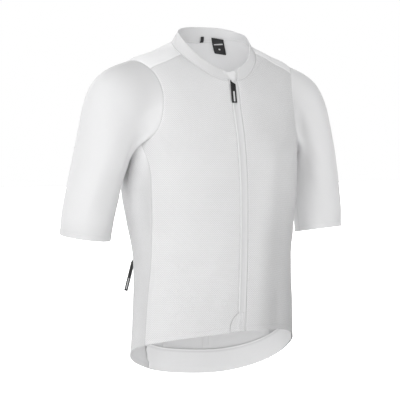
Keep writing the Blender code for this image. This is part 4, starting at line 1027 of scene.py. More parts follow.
def back_cloth():
    reach = N_ARM_BACK - ARM_YOKE
    first = 360 + PHI_SHOULDER

    def arm(k):
        """Armhole station k of the back, counted from the shoulder's tip."""
        return arm_at(first - (first - PHI_BACK)*np.asarray(k, float)/N_ARM_BACK)

    ub = shares(0.160, end=True)
    ua = shares(0.062, end=True)
    vy = shares(0.110, start=True, end=True)
    ib = np.concatenate([shares(0.100)*reach, reach + shares(L_SIDE, hem=True)[1:]*N_SIDE])
    fold_end = arm(ARM_YOKE)
    fold = np.stack([180 + (fold_end[0] - 180)*ub, YOKE_RING + (fold_end[1] - YOKE_RING)*ub], -1)
    split = (N_NECK_BACK - ARM_YOKE)/N_NECK_BACK
    uy = np.concatenate([ub*split, split + ua[1:]*(1 - split)])
    neck = np.stack([180 + (SHOULDER[0, 0] - 180)*uy, 0*uy], -1)
    under = np.concatenate([fold, arm(ARM_YOKE*(1 - ua[1:]))])
    middle = np.stack([np.full(len(vy), 180.0), YOKE_RING*vy], -1)
    yoke = coons_at(neck, under, middle, _shoulder(vy), uy, vy)
    blocks = []
    for side in (1, -1):
        seam = side_at(LINE_BACK, np.clip((ib - reach)/N_SIDE, 0, 1), side)
        right = np.where((ib <= reach)[:, None], arm(ARM_YOKE + np.minimum(ib, reach)), seam)
        level = np.where(ib <= reach, YOKE_RING + (6.0 - YOKE_RING)*ib/reach,
                         6.0 + (float(hem_ring(180.0)) - 6.0)*(ib - reach)/N_SIDE)
        left = np.stack([np.full(len(ib), 180.0), level], -1)
        hem_angle = 180 + (right[-1, 0] - 180)*ub
        bottom = np.stack([hem_angle, hem_ring(side*hem_angle)], -1)
        body = coons_at(fold, bottom, left, right, ub, ib/(reach + N_SIDE))
        turn = np.array([side, 1.0])
        blocks += [(yoke*turn, side, len(vy) - 1), (body*turn, side, 0)]
    index, stations, quads, corner_uv, widths = {}, [], [], [], {}
    for grid, side, level_row in blocks:
        p = torso(grid[..., 0], grid[..., 1])
        uv = cut_uv(p, level_row)
        uv[..., 0] *= -side
        ids = np.zeros(grid.shape[:2], int)
        for (i, j), _ in np.ndenumerate(ids):
            key = (round(float(grid[i, j, 0]) % 360, 3), round(float(grid[i, j, 1]), 4))
            if key not in index:
                index[key] = len(stations)
                stations.append((float(grid[i, j, 0]) % 360, float(grid[i, j, 1])))
            ids[i, j] = index[key]
        q, corners = grid_quads(*grid.shape[:2])
        q, cuv = ids.ravel()[q], uv.reshape(-1, 2)[corners]
        if side < 0:
            q, cuv = q[:, ::-1], cuv[:, ::-1]
        quads.append(q)
        corner_uv.append(cuv)
        widths.setdefault(level_row == 0, []).append(extent(p))
    stations = np.array(stations)
    quads, corner_uv = np.concatenate(quads), np.concatenate(corner_uv)
    whole = np.array([len(set(q)) == 4 for q in quads])
    quads, corner_uv = quads[whole], corner_uv[whole]
    p, n = torso(stations[:, 0], stations[:, 1]), torso_normal(stations[:, 0], stations[:, 1])
    points, normals, tone = lie(p, n, "torso", "back", above(stations[:, 0], p))
    fore = smooth(-np.abs((stations[:, 0] + 180) % 360 - 180), -125.0, -95.0)*(1 - smooth(stations[:, 1], 3.0, 4.5))
    tone = tone*(1 + 0.060*fore)
    obj = shell("back_cloth", points, normals, quads, corner_uv, FABRIC, STRETCH, "stretch_cloth", tone=tone, nodes=("back",))
    width = max(sum(w[0] for w in pair) for pair in widths.values())
    length = max(w[1] for w in widths[True]) + max(w[1] for w in widths[False])
    PIECES["back"] = (obj, (width, length))


def sleeve_cloth(side):
    phi = np.linspace(182.0, 542.0, 141)[:-1]
    low = 1 - shares(0.120, cell=0.0035, hem=True)[::-1]
    along = np.unique(np.concatenate([shares(0.110, cell=0.0035, start=True)*SLEEVE_CAP, SLEEVE_CAP + (1 - SLEEVE_CAP)*(1 - low)]).round(9))
    grid = mirror(sleeve_point(phi[None, :], along[:, None], side), side)
    step = np.where(along < 0.5, 1e-3, -1e-3)[:, None]
    down = (mirror(sleeve_point(phi[None, :], along[:, None] + step, side), side) - grid)*np.sign(step)[..., None]
    turn = mirror(sleeve_point(phi[None, :] + 0.2, along[:, None], side), side) - grid
    normals = unit(np.cross(down, turn))
    if ((grid[-1] - grid[-1].mean(0))*normals[-1]).sum() < 0:
        normals = -normals
    tag = {1: "left", -1: "right"}[side]
    to_cuff = np.concatenate([np.cumsum(np.linalg.norm(np.diff(grid, axis=0), axis=-1)[::-1], 0)[::-1], np.zeros((1, len(phi)))])
    from_seam = to_cuff[0][None] - to_cuff
    points, n, tone = lie(grid.reshape(-1, 3), normals.reshape(-1, 3), "sleeve_" + tag, None, to_cuff.ravel())
    # inseam: a shallow groove with a rolled allowance, under the arm
    girth = np.linalg.norm(grid - grid[:, :1], axis=-1).ravel()
    points = points - n*(0.00035*np.exp(-(girth/0.0010)**2) - 0.0002*np.exp(-((girth - 0.0028)/0.0012)**2))[:, None]
    tone = tone - 0.10*np.exp(-(girth/0.0008)**2)
    # painted shade: the cap is painted darker near its seam, far more on the right sleeve than on the left
    top = np.maximum(np.cos(np.radians(phi - 8.0)), 0)[None, :]**0.7
    tone = tone*(1 - (CAP_PAINTED_SHADE[side]*top*(1 - smooth(from_seam, 0.022, 0.092))).ravel())
    # painted light and shade on each sleeve: on the left, painted shade along the inner half, pressed to the side,
    # easing to a slight painted lightening at the cuff, and a painted highlight on the round outer face; on the right,
    # a painted lighter patch on the inner front near the armpit and painted shade towards the cuff
    turned = phi[None, :] - 360*(phi[None, :] > 275)
    if side > 0:
        line = np.interp(along, (0.10, 0.23, 0.43, 0.63, 0.82, 1.0), (112, 126, 136, 142, 141, 138))[:, None]
        depth = np.interp(along, (0.04, 0.12, 0.30, 0.50, 0.70, 1.0), (0.0, 0.19, 0.21, 0.15, 0.02, -0.08))[:, None]
        tone = tone*(1 - depth*np.exp(-((turned - line)/19)**2) + 0.07*np.exp(-((turned - 50)/24)**2)).ravel()
    else:
        tone = tone*(1 + 0.150*np.exp(-((turned - 124)/24)**2)*np.exp(-((along[:, None] - 0.24)/0.17)**2)
                     - 0.05*smooth(along, 0.80, 0.97)[:, None]).ravel()
    shape = grid.shape
    obj = grid_piece("sleeve_%s_cloth" % tag, points.reshape(shape), n.reshape(shape), FABRIC, SLEEVE, "stretch_cloth",
                     closed=True, tone=tone, level_row=len(along) - 1, nodes=("sleeve_" + tag,))
    PIECES["sleeve_" + tag] = (obj, extent(points.reshape(shape), closed=True))


# painted shade of each sleeve's cap near its seam, by side
CAP_PAINTED_SHADE = {1: 0.02, -1: 0.20}


def collar_cloth():
    start = float(angle_of_x(ZIP_HALF, 0.0))
    angle = start + (360 - 2*start)*shares(0.400, cell=0.0032, start=True, end=True)
    up = 1 - shares(0.030, cell=0.0022, end=True)
    up = np.unique(np.concatenate([up, [0.985, 0.955, 0.91]]))[::-1]
    grid = collar_point(angle[None, :], up[:, None])
    n = collar_normal(angle[None, :], up[:, None])
    tall = np.linalg.norm(grid - grid[-1:], axis=-1)
    points, normals, tone = lie(grid.reshape(-1, 3), n.reshape(-1, 3), "collar", None)
    tall, lip = tall.ravel(), (np.linalg.norm(grid - grid[:1], axis=-1)).ravel()
    # top-stitched line above the neck seam, and the soft roll of the folded top edge
    points = points + normals*(0.00018*np.exp(-((lip - 0.0032)/0.0020)**2) - 0.00028*np.exp(-((tall - 0.0042)/0.0006)**2)
                               + 0.00022*np.exp(-((tall - 0.0026)/0.0010)**2))[:, None]
    tone = tone - 0.07*np.exp(-((tall - 0.0042)/0.0006)**2)
    depth = COLLAR_FABRIC*(0.72 + 0.28*smooth(lip, 0.0, 0.0016))
    shape = grid.shape
    obj = grid_piece("collar_cloth", points.reshape(shape), normals.reshape(shape), depth, COLLAR, "stretch_cloth",
                     tone=tone, level_row=len(up) - 1, bulge=0.55, nodes=("collar",))
    PIECES["collar"] = (obj, extent(points.reshape(shape)))


STRIP_RIDGE, STRIP_RIDGE_AT, STRIP_RIDGE_WIDTH = 0.00062, 0.0068, 0.0029


def strip_profile(x, far):
    """Height of the zip cover above the fronts: two piped ridges either side of a flat band; far is the distance down it."""
    fade = smooth(far, 0.0, 0.012)
    ridge = STRIP_RIDGE*fade*(np.exp(-((np.abs(x) - STRIP_RIDGE_AT)/STRIP_RIDGE_WIDTH)**2))
    return ZIP_PROUD*np.clip((ZIP_HALF - np.abs(x))/0.0020, 0, 1) + ridge


def strip_cloth():
    fine = np.linspace(0, float(hem_ring(0.0)), 900)
    run = np.concatenate([[0], np.cumsum(np.linalg.norm(np.diff(torso(0*fine, fine), axis=0), axis=1))])
    ring = np.interp(shares(run[-1], cell=0.0036, start=True, hem=True)*run[-1], run, fine)
    x = ZIP_HALF*np.linspace(-1, 1, 47)
    angle = angle_of_x(x[None, :], ring[:, None])
    rings = np.repeat(ring[:, None], len(x), 1)
    p, n = torso(angle, rings).reshape(-1, 3), torso_normal(angle, rings).reshape(-1, 3)
    points, normals, tone = lie(p, n, "torso", None)
    xx, far = np.tile(x, len(ring)), np.repeat(np.interp(ring, fine, run), len(x))
    points = points + n*strip_profile(xx, far)[:, None]
    # a dark seam line along each edge of the strip, and along the right edge painted shadow on top of it, far darker
    # than the left
    tone = tone - 0.03*np.exp(-((xx + 0.0088)/0.0006)**2) - 0.15*np.exp(-((xx - 0.0088)/0.0008)**2)
    shape = angle.shape + (3,)
    obj = grid_piece("zip_cover", points.reshape(shape), normals.reshape(shape), 0.0010, ZIP_FILM, "white_moulding",
                     tone=tone, from_col=23, nodes=("zip_strip",))
    PIECES["zip_strip"] = (obj, extent(points.reshape(shape)))


def guard_cloth():
    x = np.linspace(-0.0135, 0.0135, 4)
    rows, normals = [], []
    for up in (0.93, 0.62, 0.30):
        a = angle_of_x(x, 0.0)
        seam, top = torso(a, 0*a), collar_point(a, 0*a + 1.0)
        p = seam + (top - seam)*up
        p[:, 0] = x
        rows.append(p)
        normals.append(np.repeat(unit(np.array([[0.0, -0.82, 0.57]])), len(x), 0))
    for ring in (0.25, 1.0, 2.0, 2.9):
        a = angle_of_x(x, ring)
        rows.append(torso(a, ring + 0*a))
        normals.append(torso_normal(a, ring + 0*a))
    rows, normals = np.array(rows), np.array(normals)
    t = np.linspace(0, 6, 61)
    down = natural_spline(range(7), rows.reshape(7, -1))(t).reshape(len(t), 4, 3)
    nd = natural_spline(range(7), normals.reshape(7, -1))(t).reshape(len(t), 4, 3)
    s = np.linspace(0, 3, 31)
    grid = natural_spline(range(4), down.transpose(1, 0, 2).reshape(4, -1))(s).reshape(len(s), len(t), 3).transpose(1, 0, 2)
    n = unit(natural_spline(range(4), nd.transpose(1, 0, 2).reshape(4, -1))(s).reshape(len(s), len(t), 3).transpose(1, 0, 2))
    xs = np.linspace(-1, 1, len(s))[None, :]
    tt = t[:, None]
    grid = grid - n*(COLLAR_CLOTH + GAP)
    # rounded upper corners, a bound edge and a slight bow
    corner = np.clip((np.abs(xs) - 0.62)/0.38, 0, 1)**2*np.exp(-tt/0.35)
    grid = grid + np.array([0.0, 0.0, -1.0])*(0.0034*corner)[..., None]
    edge = np.minimum((1 - np.abs(xs))*0.0135, 9 + 0*tt)
    lift = 0.0003*np.exp(-((edge - 0.0012)/0.0007)**2) - 0.00015*np.exp(-((edge - 0.0026)/0.0005)**2) + 0.0002*np.cos(xs*1.5)
    grid = grid + n*np.broadcast_to(lift, grid.shape[:2])[..., None]
    obj = grid_piece("zip_guard_cloth", grid, n, FABRIC, STRETCH, "stretch_cloth", slit=False, bulge=0.5, nodes=("zip_guard",))
    PIECES["zip_guard"] = (obj, extent(grid))


def zip_tape_ends():
    """Zip tapes along the open ends of the collar, with a row of coil along each free edge."""
    start = float(angle_of_x(ZIP_HALF, 0.0))
    n = unit(np.array([0.0, -0.82, 0.57]))
    for side, tag in SIDES:
        up = np.linspace(0.14, 0.96, 22)
        edge = collar_point(np.full(len(up), side*start), up)
        x = np.linspace(0, 1, 8)
        grid = edge[:, None] + np.array([-side*1.0, 0.0, 0.0])*(GAP + (0.0040 - GAP)*x)[None, :, None]
        normals = np.broadcast_to(n, grid.shape).copy()
        lift = 0.0001 + 0.0004*smooth(x, 0.45, 0.7)
        obj = grid_piece("zip_tape_" + tag, grid - normals*0.0001 + normals*(lift - 0.0001)[None, :, None], normals, 0.0009,
                         ZIP_FILM, "white_moulding", slit=False, nodes=("zip_end_" + tag,))
        pitch = 0.0012
        run = np.linalg.norm(edge[-1] - edge[0])
        count = int(run/pitch)
        way = (edge[-1] - edge[0])/run
        base = np.array([edge[0] + way*(k + 0.5)*pitch + np.array([-side*0.0036, 0.0, 0.0]) + n*0.0006 for k in range(count)])
        coil = studs("zip_coil_" + tag, base, np.tile(np.array([side*1.0, 0.0, 0.0]), (count, 1)), np.tile(n, (count, 1)),
                     0.0017, 0.0007, 0.0006, SATIN, "white_moulding")
        PIECES["zip_end_" + tag] = (obj, None)
        PIECES["coil_" + tag] = (coil, None)


def gripper_cloth():
    wide = shares(0.500, cell=0.0036)
    tall = np.unique(np.concatenate([np.linspace(0, 1, 13), [0.012, 0.03, 0.05, 0.08, 0.97, 0.988]]))[::-1]
    raised = 0.0012 + (GRIPPER_DEPTH - 0.0012)*tall
    end = np.minimum(wide, 1 - wide)*0.500
    grid, normals = [], []
    for k, r in zip(tall, raised):
        first = GRIPPER_ENDS[0] - 3.2 + 7.0*(r/GRIPPER_DEPTH)**0.8 + 0.75*math.sin(k*19.0 + 0.6) + 0.35*math.sin(k*43.0)
        a = first + (GRIPPER_ENDS[1] - first)*wide
        ring = hem_ring(a, r)
        grid.append(torso(a, ring))
        normals.append(torso_normal(a, ring))
    grid, normals = np.array(grid), np.array(normals)
    p, n = grid.reshape(-1, 3), normals.reshape(-1, 3)
    lift = drape(p, "torso")
    tt, ee = np.repeat(tall, len(wide)), np.tile(end, len(tall))
    # the band's upper edge is bound and stands off the cloth a little; its ends ruffle
    off = 0.0013 + 0.0005*smooth(tt, 0.55, 1.0) - 0.0006*np.exp(-((tt - 0.955)/0.022)**2) + 0.0003*np.exp(-((tt - 0.90)/0.012)**2)
    off += 0.0005*np.exp(-(ee/0.006)**2)*(0.55 + 0.45*np.sin(tt*19.0))
    off -= 0.00022*np.sin(ee*2*np.pi/0.0024)*0.35
    p = p + n*(lift - FABRIC - off)[:, None]
    tone = 1 - 0.12*np.exp(-((tt - 0.915)/0.012)**2) + 0.05*smooth(tt, 0.94, 0.97)
    # painted light: the band is painted lighter over the part towards its end on the wearer's right
    tone = tone + 0.11*(1 - smooth(np.tile(wide, len(tall)), 0.06, 0.42))
    obj = grid_piece("hem_gripper_band", p.reshape(grid.shape), normals, 0.0009, BAND_RIB, "elastic", tone=tone, slit=False,
                     bulge=0.5, nodes=("hem_gripper",))
    PIECES["hem_gripper"] = (obj, extent(grid))


POCKET_HALF, POCKET_SPLITS = 59.0, (-16.0, 16.0)


def pocket_top(angle):
    at = natural_spline([r[0] for r in POCKET_TOP], [r[1] for r in POCKET_TOP])
    return at(180 - np.abs(180 - np.asarray(angle, float)))[..., 0]


def pocket_off(d, k, tall):
    """How far the pockets stand off the back: three slack compartments between sewn lines; d in degrees, k down them."""
    off = EASE + BAND + 0*d
    lines = np.array([-POCKET_HALF, *POCKET_SPLITS, POCKET_HALF])
    for a, b in zip(lines, lines[1:]):
        t = np.clip((d - a)/(b - a), 0, 1)
        off = off + np.where((d >= a) & (d <= b), 0.0016*np.sin(np.pi*t)**0.7*(1 - smooth(k, 0.55, 1.0)*0.8), 0)
    return off


def pocket_cloth():
    run = 0.235
    u = shares(run, cell=0.0042, start=True, end=True)
    splits = [(s + POCKET_HALF)/(2*POCKET_HALF) for s in POCKET_SPLITS]
    extra = [s + o/run for s in splits for o in (-0.0030, -0.0018, -0.0009, 0.0, 0.0009, 0.0018, 0.0030)]
    u = np.unique(np.concatenate([u, extra]).round(7))
    d = -POCKET_HALF + 2*POCKET_HALF*u
    angle = 180 - d
    k = shares(0.205, cell=0.0042, end=True)
    top = pocket_top(angle)
    ring = np.stack([ring_of_height(top + (POCKET_FOOT - top)*kk) for kk in k])
    angles = np.broadcast_to(angle, ring.shape)
    p, n = torso(angles, ring).reshape(-1, 3), torso_normal(angles, ring).reshape(-1, 3)
    dd, kk = np.tile(d, len(k)), np.repeat(k, len(d))
    off = pocket_off(dd, kk, 0.205)
    # sewn edges lie down on the back, with a rolled turning inside them; the divisions are drawn in
    arc = run/(2*POCKET_HALF)
    edge = np.minimum((POCKET_HALF - np.abs(dd))*arc, (1 - kk)*0.205)
    flat = FABRIC + 0.0003
    off = flat + (off - flat)*smooth(edge, 0.0, 0.0065) + 0.00025*np.exp(-((edge - 0.0024)/0.0011)**2)
    tone = 1 - 0.10*np.exp(-(edge/0.0008)**2)
    for s in POCKET_SPLITS:
        gap = np.abs(dd - s)*arc
        off = flat + (off - flat)*(1 - np.exp(-(gap/0.0030)**2)) - 0.0001*np.exp(-(gap/0.0006)**2)
        tone = tone - 0.09*np.exp(-(gap/0.0007)**2)
    p = p + n*(drape(p, "torso") + off)[:, None]
    shape = ring.shape + (3,)
    obj = grid_piece("back_pockets_cloth", p.reshape(shape), n.reshape(shape), FABRIC, STRETCH, "stretch_cloth", tone=tone,
                     slit=False, bulge=0.5, nodes=("back_pockets",))
    # elastic binding round the open top edge
    w = shares(run, cell=0.0030)
    db = -POCKET_HALF + 2*POCKET_HALF*w
    ab = 180 - db
    down = np.array([-0.0006, 0.0, 0.0010, 0.0028, 0.0050, 0.0072, 0.0088, 0.0095])
    tb = pocket_top(ab)
    rb = np.stack([ring_of_height(tb - z) for z in down])
    aa = np.broadcast_to(ab, rb.shape)
    q, m = torso(aa, rb).reshape(-1, 3), torso_normal(aa, rb).reshape(-1, 3)
    dq, kq = np.tile(db, len(down)), np.repeat(np.maximum(down, 0)/0.205, len(db))
    offb = pocket_off(dq, kq, 0.205)
    eb = (POCKET_HALF - np.abs(dq))*arc
    offb = flat + (offb - flat)*smooth(eb, 0.0, 0.0065)
    for s in POCKET_SPLITS:
        gap = np.abs(dq - s)*arc
        offb = flat + (offb - flat)*(1 - 0.85*np.exp(-(gap/0.0030)**2))
    round_off = np.tile(0.0007*np.sin(np.pi*np.linspace(0.08, 0.92, len(down)))[:, None], (1, len(db))).ravel()
    q = q + m*(drape(q, "torso") + offb + 0.0002 + round_off)[:, None]
    binding = grid_piece("pocket_binding", q.reshape(rb.shape + (3,)), m.reshape(rb.shape + (3,)), 0.0007, BAND_RIB, "elastic",
                         slit=False, bulge=0.5)
    PIECES["back_pockets"] = (obj, extent(p.reshape(shape)))
    PIECES["pocket_binding"] = (binding, None)


POCKET_ZIP_ANGLE, POCKET_ZIP_TOP, POCKET_ZIP_FOOT = -129.0, -0.4055, -0.5235


def pocket_zip_cloth():
    """Welded zip down the wearer's right-hand pocket: a tape with two lips that meet over the coil."""
    z = POCKET_ZIP_TOP + (POCKET_ZIP_FOOT - POCKET_ZIP_TOP)*shares(0.118, cell=0.0035)
    ring = ring_of_height(z)
    s = np.linspace(-1, 1, 29)
    a, t = np.meshgrid(POCKET_ZIP_ANGLE + 2.4*s, ring)
    p, n = torso(a, t).reshape(-1, 3), torso_normal(a, t).reshape(-1, 3)
    ss = np.tile(s, len(z))
    end = np.repeat(np.minimum(POCKET_ZIP_TOP - z, z - POCKET_ZIP_FOOT), len(s))
    base = EASE + 2*GAP + 2*BAND - 0.0010
    lift = base - 0.0006*smooth(np.abs(ss), 0.75, 1.0)
    lips = 0.0006*np.exp(-((np.abs(ss) - 0.26)/0.17)**2) - 0.0006*np.exp(-(ss/0.07)**2)
    lift = lift + lips*smooth(end, 0.0, 0.004)
    p = p + n*(drape(p, "torso") + lift)[:, None]
    tone = 1 - 0.25*np.exp(-(ss/0.07)**2)*smooth(end, 0.0, 0.004)
    obj = grid_piece("pocket_zip_tape", p.reshape(a.shape + (3,)), n.reshape(a.shape + (3,)), 0.0009, ZIP_FILM, "white_moulding",
                     tone=tone, slit=False, bulge=0.5, nodes=("pocket_zip",))
    PIECES["pocket_zip"] = (obj, extent(p.reshape(a.shape + (3,))))


def tab_cloth():
    """Rounded patch bonded over the foot of the zip, its free edge on the wearer's right."""
    z = np.array([-0.5090, -0.5170, -0.5260, -0.5350, -0.5440])
    left = np.array([-0.0100, -0.0185, -0.0245, -0.0270, -0.0275])
    edge_at = natural_spline(z[::-1], left[::-1])
    zz = np.linspace(z[0], z[-1], 34)
    edge = edge_at(zz)[..., 0]
    t = shares(0.024, cell=0.0014)
    right = 0.0042
    x = edge[:, None] + (right - edge[:, None])*t[None, :]
    ring = np.repeat(ring_of_height(zz)[:, None], len(t), 1)
    angle = angle_of_x(x, ring)
    p, n = torso(angle, ring).reshape(-1, 3), torso_normal(angle, ring).reshape(-1, 3)
    xf = x.ravel()
    gap = (x - edge[:, None]).ravel()
    ridge = STRIP_RIDGE*np.exp(-((np.abs(xf) - STRIP_RIDGE_AT)/(STRIP_RIDGE_WIDTH*1.6))**2)
    lift = 0.0009 + ridge*0.9 + (ZIP_PROUD)*smooth(xf, -ZIP_HALF - 0.001, -ZIP_HALF + 0.001)
    lift = lift + 0.00035*np.exp(-((gap - 0.0012)/0.0007)**2)
    lift = np.where(xf > 0.0020, np.maximum(lift - 0.0002*smooth(xf, 0.0020, 0.0042), 0.0008), lift)
    p = p + n*(drape(p, "torso")*(0.35 + 0.65) + lift)[:, None]
    tone = 1 - 0.40*np.exp(-(gap/0.0011)**2)
    obj = grid_piece("zip_base_patch", p.reshape(x.shape + (3,)), n.reshape(x.shape + (3,)), 0.0006, MESH, "mesh_cloth", tone=tone,
                     slit=False, bulge=0.5, nodes=("zip_base_tab",))
    PIECES["zip_base_tab"] = (obj, extent(p.reshape(x.shape + (3,))))


LABEL = [                 # row from top to foot: angle on the right, on the left as seen from inside; then height up the collar, or ring
    ("collar", 159.8, 141.8, 0.320, 0.110),
    ("seam",   158.4, 142.0, 0.000, 0.000),
    ("yoke",   156.5, 142.3, 0.610, 0.690),
    ("yoke",   154.5, 142.7, 1.225, 1.385),
]


def inside_neck(rows, across, count=31):
    """Grid down a tape that lies inside the collar and over its seam on to the cloth below, with its inward normals."""
    table = np.array([r[1:] for r in rows])
    turn = [r[0] for r in rows].index("seam") if "seam" in [r[0] for r in rows] else len(rows) - 1
    grid = []
    for t in np.linspace(0, len(rows) - 1, count):
        i = min(int(t), len(rows) - 2)
        a, b, u, v = table[i] + (table[i + 1] - table[i])*(t - i)
        place = collar_point if t < turn or turn == len(rows) - 1 else torso
        grid.append(place(a + (b - a)*across, np.maximum(u + (v - u)*across, 0.0)))
    grid = np.array(grid)
    for _ in range(2):
        grid[1:-1] = grid[1:-1]/2 + (grid[:-2] + grid[2:])/4
    normals = grid_normals(grid)
    normals = normals*np.sign((normals*(grid*np.array([1.0, 1.0, 0.0]))).sum(-1, keepdims=True))
    return grid - normals*(COLLAR_CLOTH + 0.0005), -normals


def sampled(grid, k, s):
    """Points of a grid at shares k down and s across."""
    rows, cols = grid.shape[:2]
    k, s = np.broadcast_arrays(np.clip(k, 0, 1)*(rows - 1), np.clip(s, 0, 1)*(cols - 1))
    i, j = np.minimum(k.astype(int), rows - 2), np.minimum(s.astype(int), cols - 2)
    f, g = (k - i)[..., None], (s - j)[..., None]
    return (grid[i, j]*(1 - f)*(1 - g) + grid[i + 1, j]*f*(1 - g) + grid[i, j + 1]*(1 - f)*g + grid[i + 1, j + 1]*f*g)


def label_cloth():
    """Bonded black label inside the neck, with two plain pale marks, and the hanging loop."""
    base, inward = inside_neck(LABEL, np.linspace(0, 1, 13))
    tall, wide = 0.042, 0.025
    k, s = np.linspace(0, 1, 41)[:, None], np.linspace(-1, 1, 25)[None, :]
    e = np.minimum(k, 1 - k)*tall
    inset = 0.0012 - np.sqrt(np.maximum(0.0012**2 - (0.0012 - np.minimum(e, 0.0012))**2, 0))
    across = 0.5 + 0.5*s*(1 - inset/(wide/2))
    grid, n = sampled(base, k + 0*s, across), unit(sampled(inward, k + 0*s, across))
    edge = np.minimum(e + 0*s, (1 - np.abs(s))*wide/2 + 0*k)
    grid = grid + n*(0.0008 - 0.0002*np.exp(-((edge - 0.0012)/0.0004)**2))[..., None]
    obj = grid_piece("neck_label_tape", grid, n, 0.0007, BLACK, "black_tape", slit=False, bulge=0.5, nodes=("neck_label",))
    marks = []
    for name, k0, k1, s0, s1 in (("neck_label_bar", 0.455, 0.525, 0.13, 0.88), ("neck_label_dot", 0.745, 0.815, 0.44, 0.58)):
        kk, ss = np.linspace(k0, k1, 4)[:, None], np.linspace(s0, s1, 12)[None, :]
        q, m = sampled(base, kk + 0*ss, ss + 0*kk), unit(sampled(inward, kk + 0*ss, ss + 0*kk))
        marks.append(grid_piece(name, q + m*0.00095, m, 0.00022, PALE, "white_moulding", slit=False))
    PIECES["neck_label"] = (obj, extent(grid))
    PIECES["label_marks"] = (marks, None)
    # loop: a narrow tape sewn down at both ends and standing away between them
    across = np.linspace(0, 1, 7)
    grid, n = inside_neck([("collar", 176.4, 172.0, 0.40, 0.40), ("collar", 176.4, 171.8, 0.03, 0.03)], across, 25)
    stand = 0.0008 + 0.0016*np.sin(np.pi*np.linspace(0, 1, 25))**0.8
    grid = grid + n*stand[:, None, None]
    loop = grid_piece("hang_loop_tape", grid, n, 0.0008, BLACK, "black_tape", slit=False, bulge=0.5, nodes=("hang_loop",))
    PIECES["hang_loop"] = (loop, None)


# ------------------------------------------------------------------ tapes, stitches and hardware
def studs(name, base, along, normals, length, width, height, finish, slot, body="jersey"):
    """Row of small rounded bars: stitches or coil."""
    across = unit(np.cross(normals, along))
    shape = [(-0.5, -0.5, 0.0), (0.5, -0.5, 0.0), (0.5, 0.5, 0.0), (-0.5, 0.5, 0.0),
             (-0.40, -0.42, 0.62), (0.40, -0.42, 0.62), (0.40, 0.42, 0.62), (-0.40, 0.42, 0.62),
             (-0.24, -0.18, 1.0), (0.24, -0.18, 1.0), (0.24, 0.18, 1.0), (-0.24, 0.18, 1.0)]
    faces = [(3, 2, 1, 0), (8, 9, 10, 11)] + [(k + a, k + b, k + 4 + b, k + 4 + a)
                                              for k in (0, 4) for a, b in ((0, 1), (1, 2), (2, 3), (3, 0))]
    s = np.array(shape)
    points = (base[:, None] + along[:, None]*(s[None, :, :1]*length) + across[:, None]*(s[None, :, 1:2]*width)
              + normals[:, None]*(s[None, :, 2:]*height))
    count = len(base)
    all_faces = (np.array(faces)[None] + 12*np.arange(count)[:, None, None]).reshape(-1, 4)
    uv = (np.array([(0, 0), (1, 0), (1, 1), (0, 1)])*np.array([length, width]))[None].repeat(len(all_faces), 0)
    return make(name, points.reshape(-1, 3), all_faces, uv, finish, slot, body=body, sharp=80)


def even(p, pitch):
    """Evenly spaced places along a run of points: positions, indices and unit tangents."""
    run = np.concatenate([[0], np.cumsum(np.linalg.norm(np.diff(p, axis=0), axis=1))])
    at = np.arange(pitch, run[-1] - pitch, pitch)
    index = np.interp(at, run, np.arange(len(p)))
    i = np.minimum(index.astype(int), len(p) - 2)
    f = (index - i)[:, None]
    return p[i]*(1 - f) + p[i + 1]*f, i, f, unit(p[i + 1] - p[i])


def stitch_row(name, seam, which, offset, pitch=0.0027, cut=(0.0, 1.0), length=0.0019, part="torso", rise=0.0):
    """Top-stitches along one side of a seam, lying on the finished cloth."""
    s = SEAMS[seam]
    a, b = int(cut[0]*len(s["p"])), int(cut[1]*len(s["p"]))
    p = (s["p"] + s[which]*offset)[a:b]
    n = s["n" + which][a:b]
    q, i, f, t = even(p, pitch)
    m = unit(n[i]*(1 - f) + n[i + 1]*f)
    q, _, _ = lie(q, m, part, "body" if part == "torso" else None)
    return studs(name, q + m*(rise - 0.00006), t, m, length, 0.00042, 0.00024, THREAD, "stretch_cloth")


def seam_tape(name, seam, width=0.0035, cut=(0.0, 1.0), part="torso"):
    """Tape behind a seam, bonded to both pieces."""
    s = SEAMS[seam]
    a, b = int(cut[0]*len(s["p"])), int(cut[1]*len(s["p"]))
    step = 3
    keep = np.unique(np.append(np.arange(a, b, step), b - 1))
    p, n = s["p"][keep], s["n"][keep]
    cols = [p + s["a"][keep]*width, p + s["a"][keep]*width*0.5, p, p + s["b"][keep]*width*0.5, p + s["b"][keep]*width]
    norms = [s["na"][keep], unit(s["na"][keep] + 0.35*n), n, unit(s["nb"][keep] + 0.35*n), s["nb"][keep]]
    grid, normals = np.stack(cols, 1), np.stack(norms, 1)
    flat, m = grid.reshape(-1, 3), normals.reshape(-1, 3)
    q, m, _ = lie(flat, m, part)
    q = q - m*(FABRIC + 0.00012)
    return grid_piece(name, q.reshape(grid.shape), m.reshape(grid.shape), 0.0004, TAPE, "stretch_cloth", slit=False)


def division_tape(name, split):
    """Tape bonded inside the back behind a pocket's sewn division."""
    top, foot = float(pocket_top(180 - split)) - 0.004, POCKET_FOOT
    ring = ring_of_height(np.linspace(top, foot, 52))
    arc = 0.235/(2*POCKET_HALF)
    a, t = np.meshgrid(180 - split + np.linspace(-0.0045, 0.0045, 9)/arc, ring)
    p, n = torso(a, t).reshape(-1, 3), torso_normal(a, t).reshape(-1, 3)
    q, m, _ = lie(p, n, "torso", seams=False)
    x = np.tile(np.linspace(-1, 1, 9), len(ring))
    q = q - m*(FABRIC + 0.00010 + 0.00035*np.exp(-((np.abs(x) - 0.62)/0.22)**2))[:, None]
    return grid_piece(name, q.reshape(a.shape + (3,)), m.reshape(a.shape + (3,)), 0.0004, TAPE, "stretch_cloth", slit=False)


def frame_at(angle, ring):
    """Point on the form with its outward normal, its upward direction and its sideways direction."""
    p, n = torso(angle, ring), torso_normal(angle, ring)
    up = torso(angle, ring - 0.01) - p
    up = unit(up - n*(up*n).sum())
    return p, n, up, np.cross(up, n)


def eye_of(foot, out, up, height, thick, lug):
    """Where the pull turns in its slider."""
    return foot + out*(thick + lug - 0.0009) + up*height*0.18


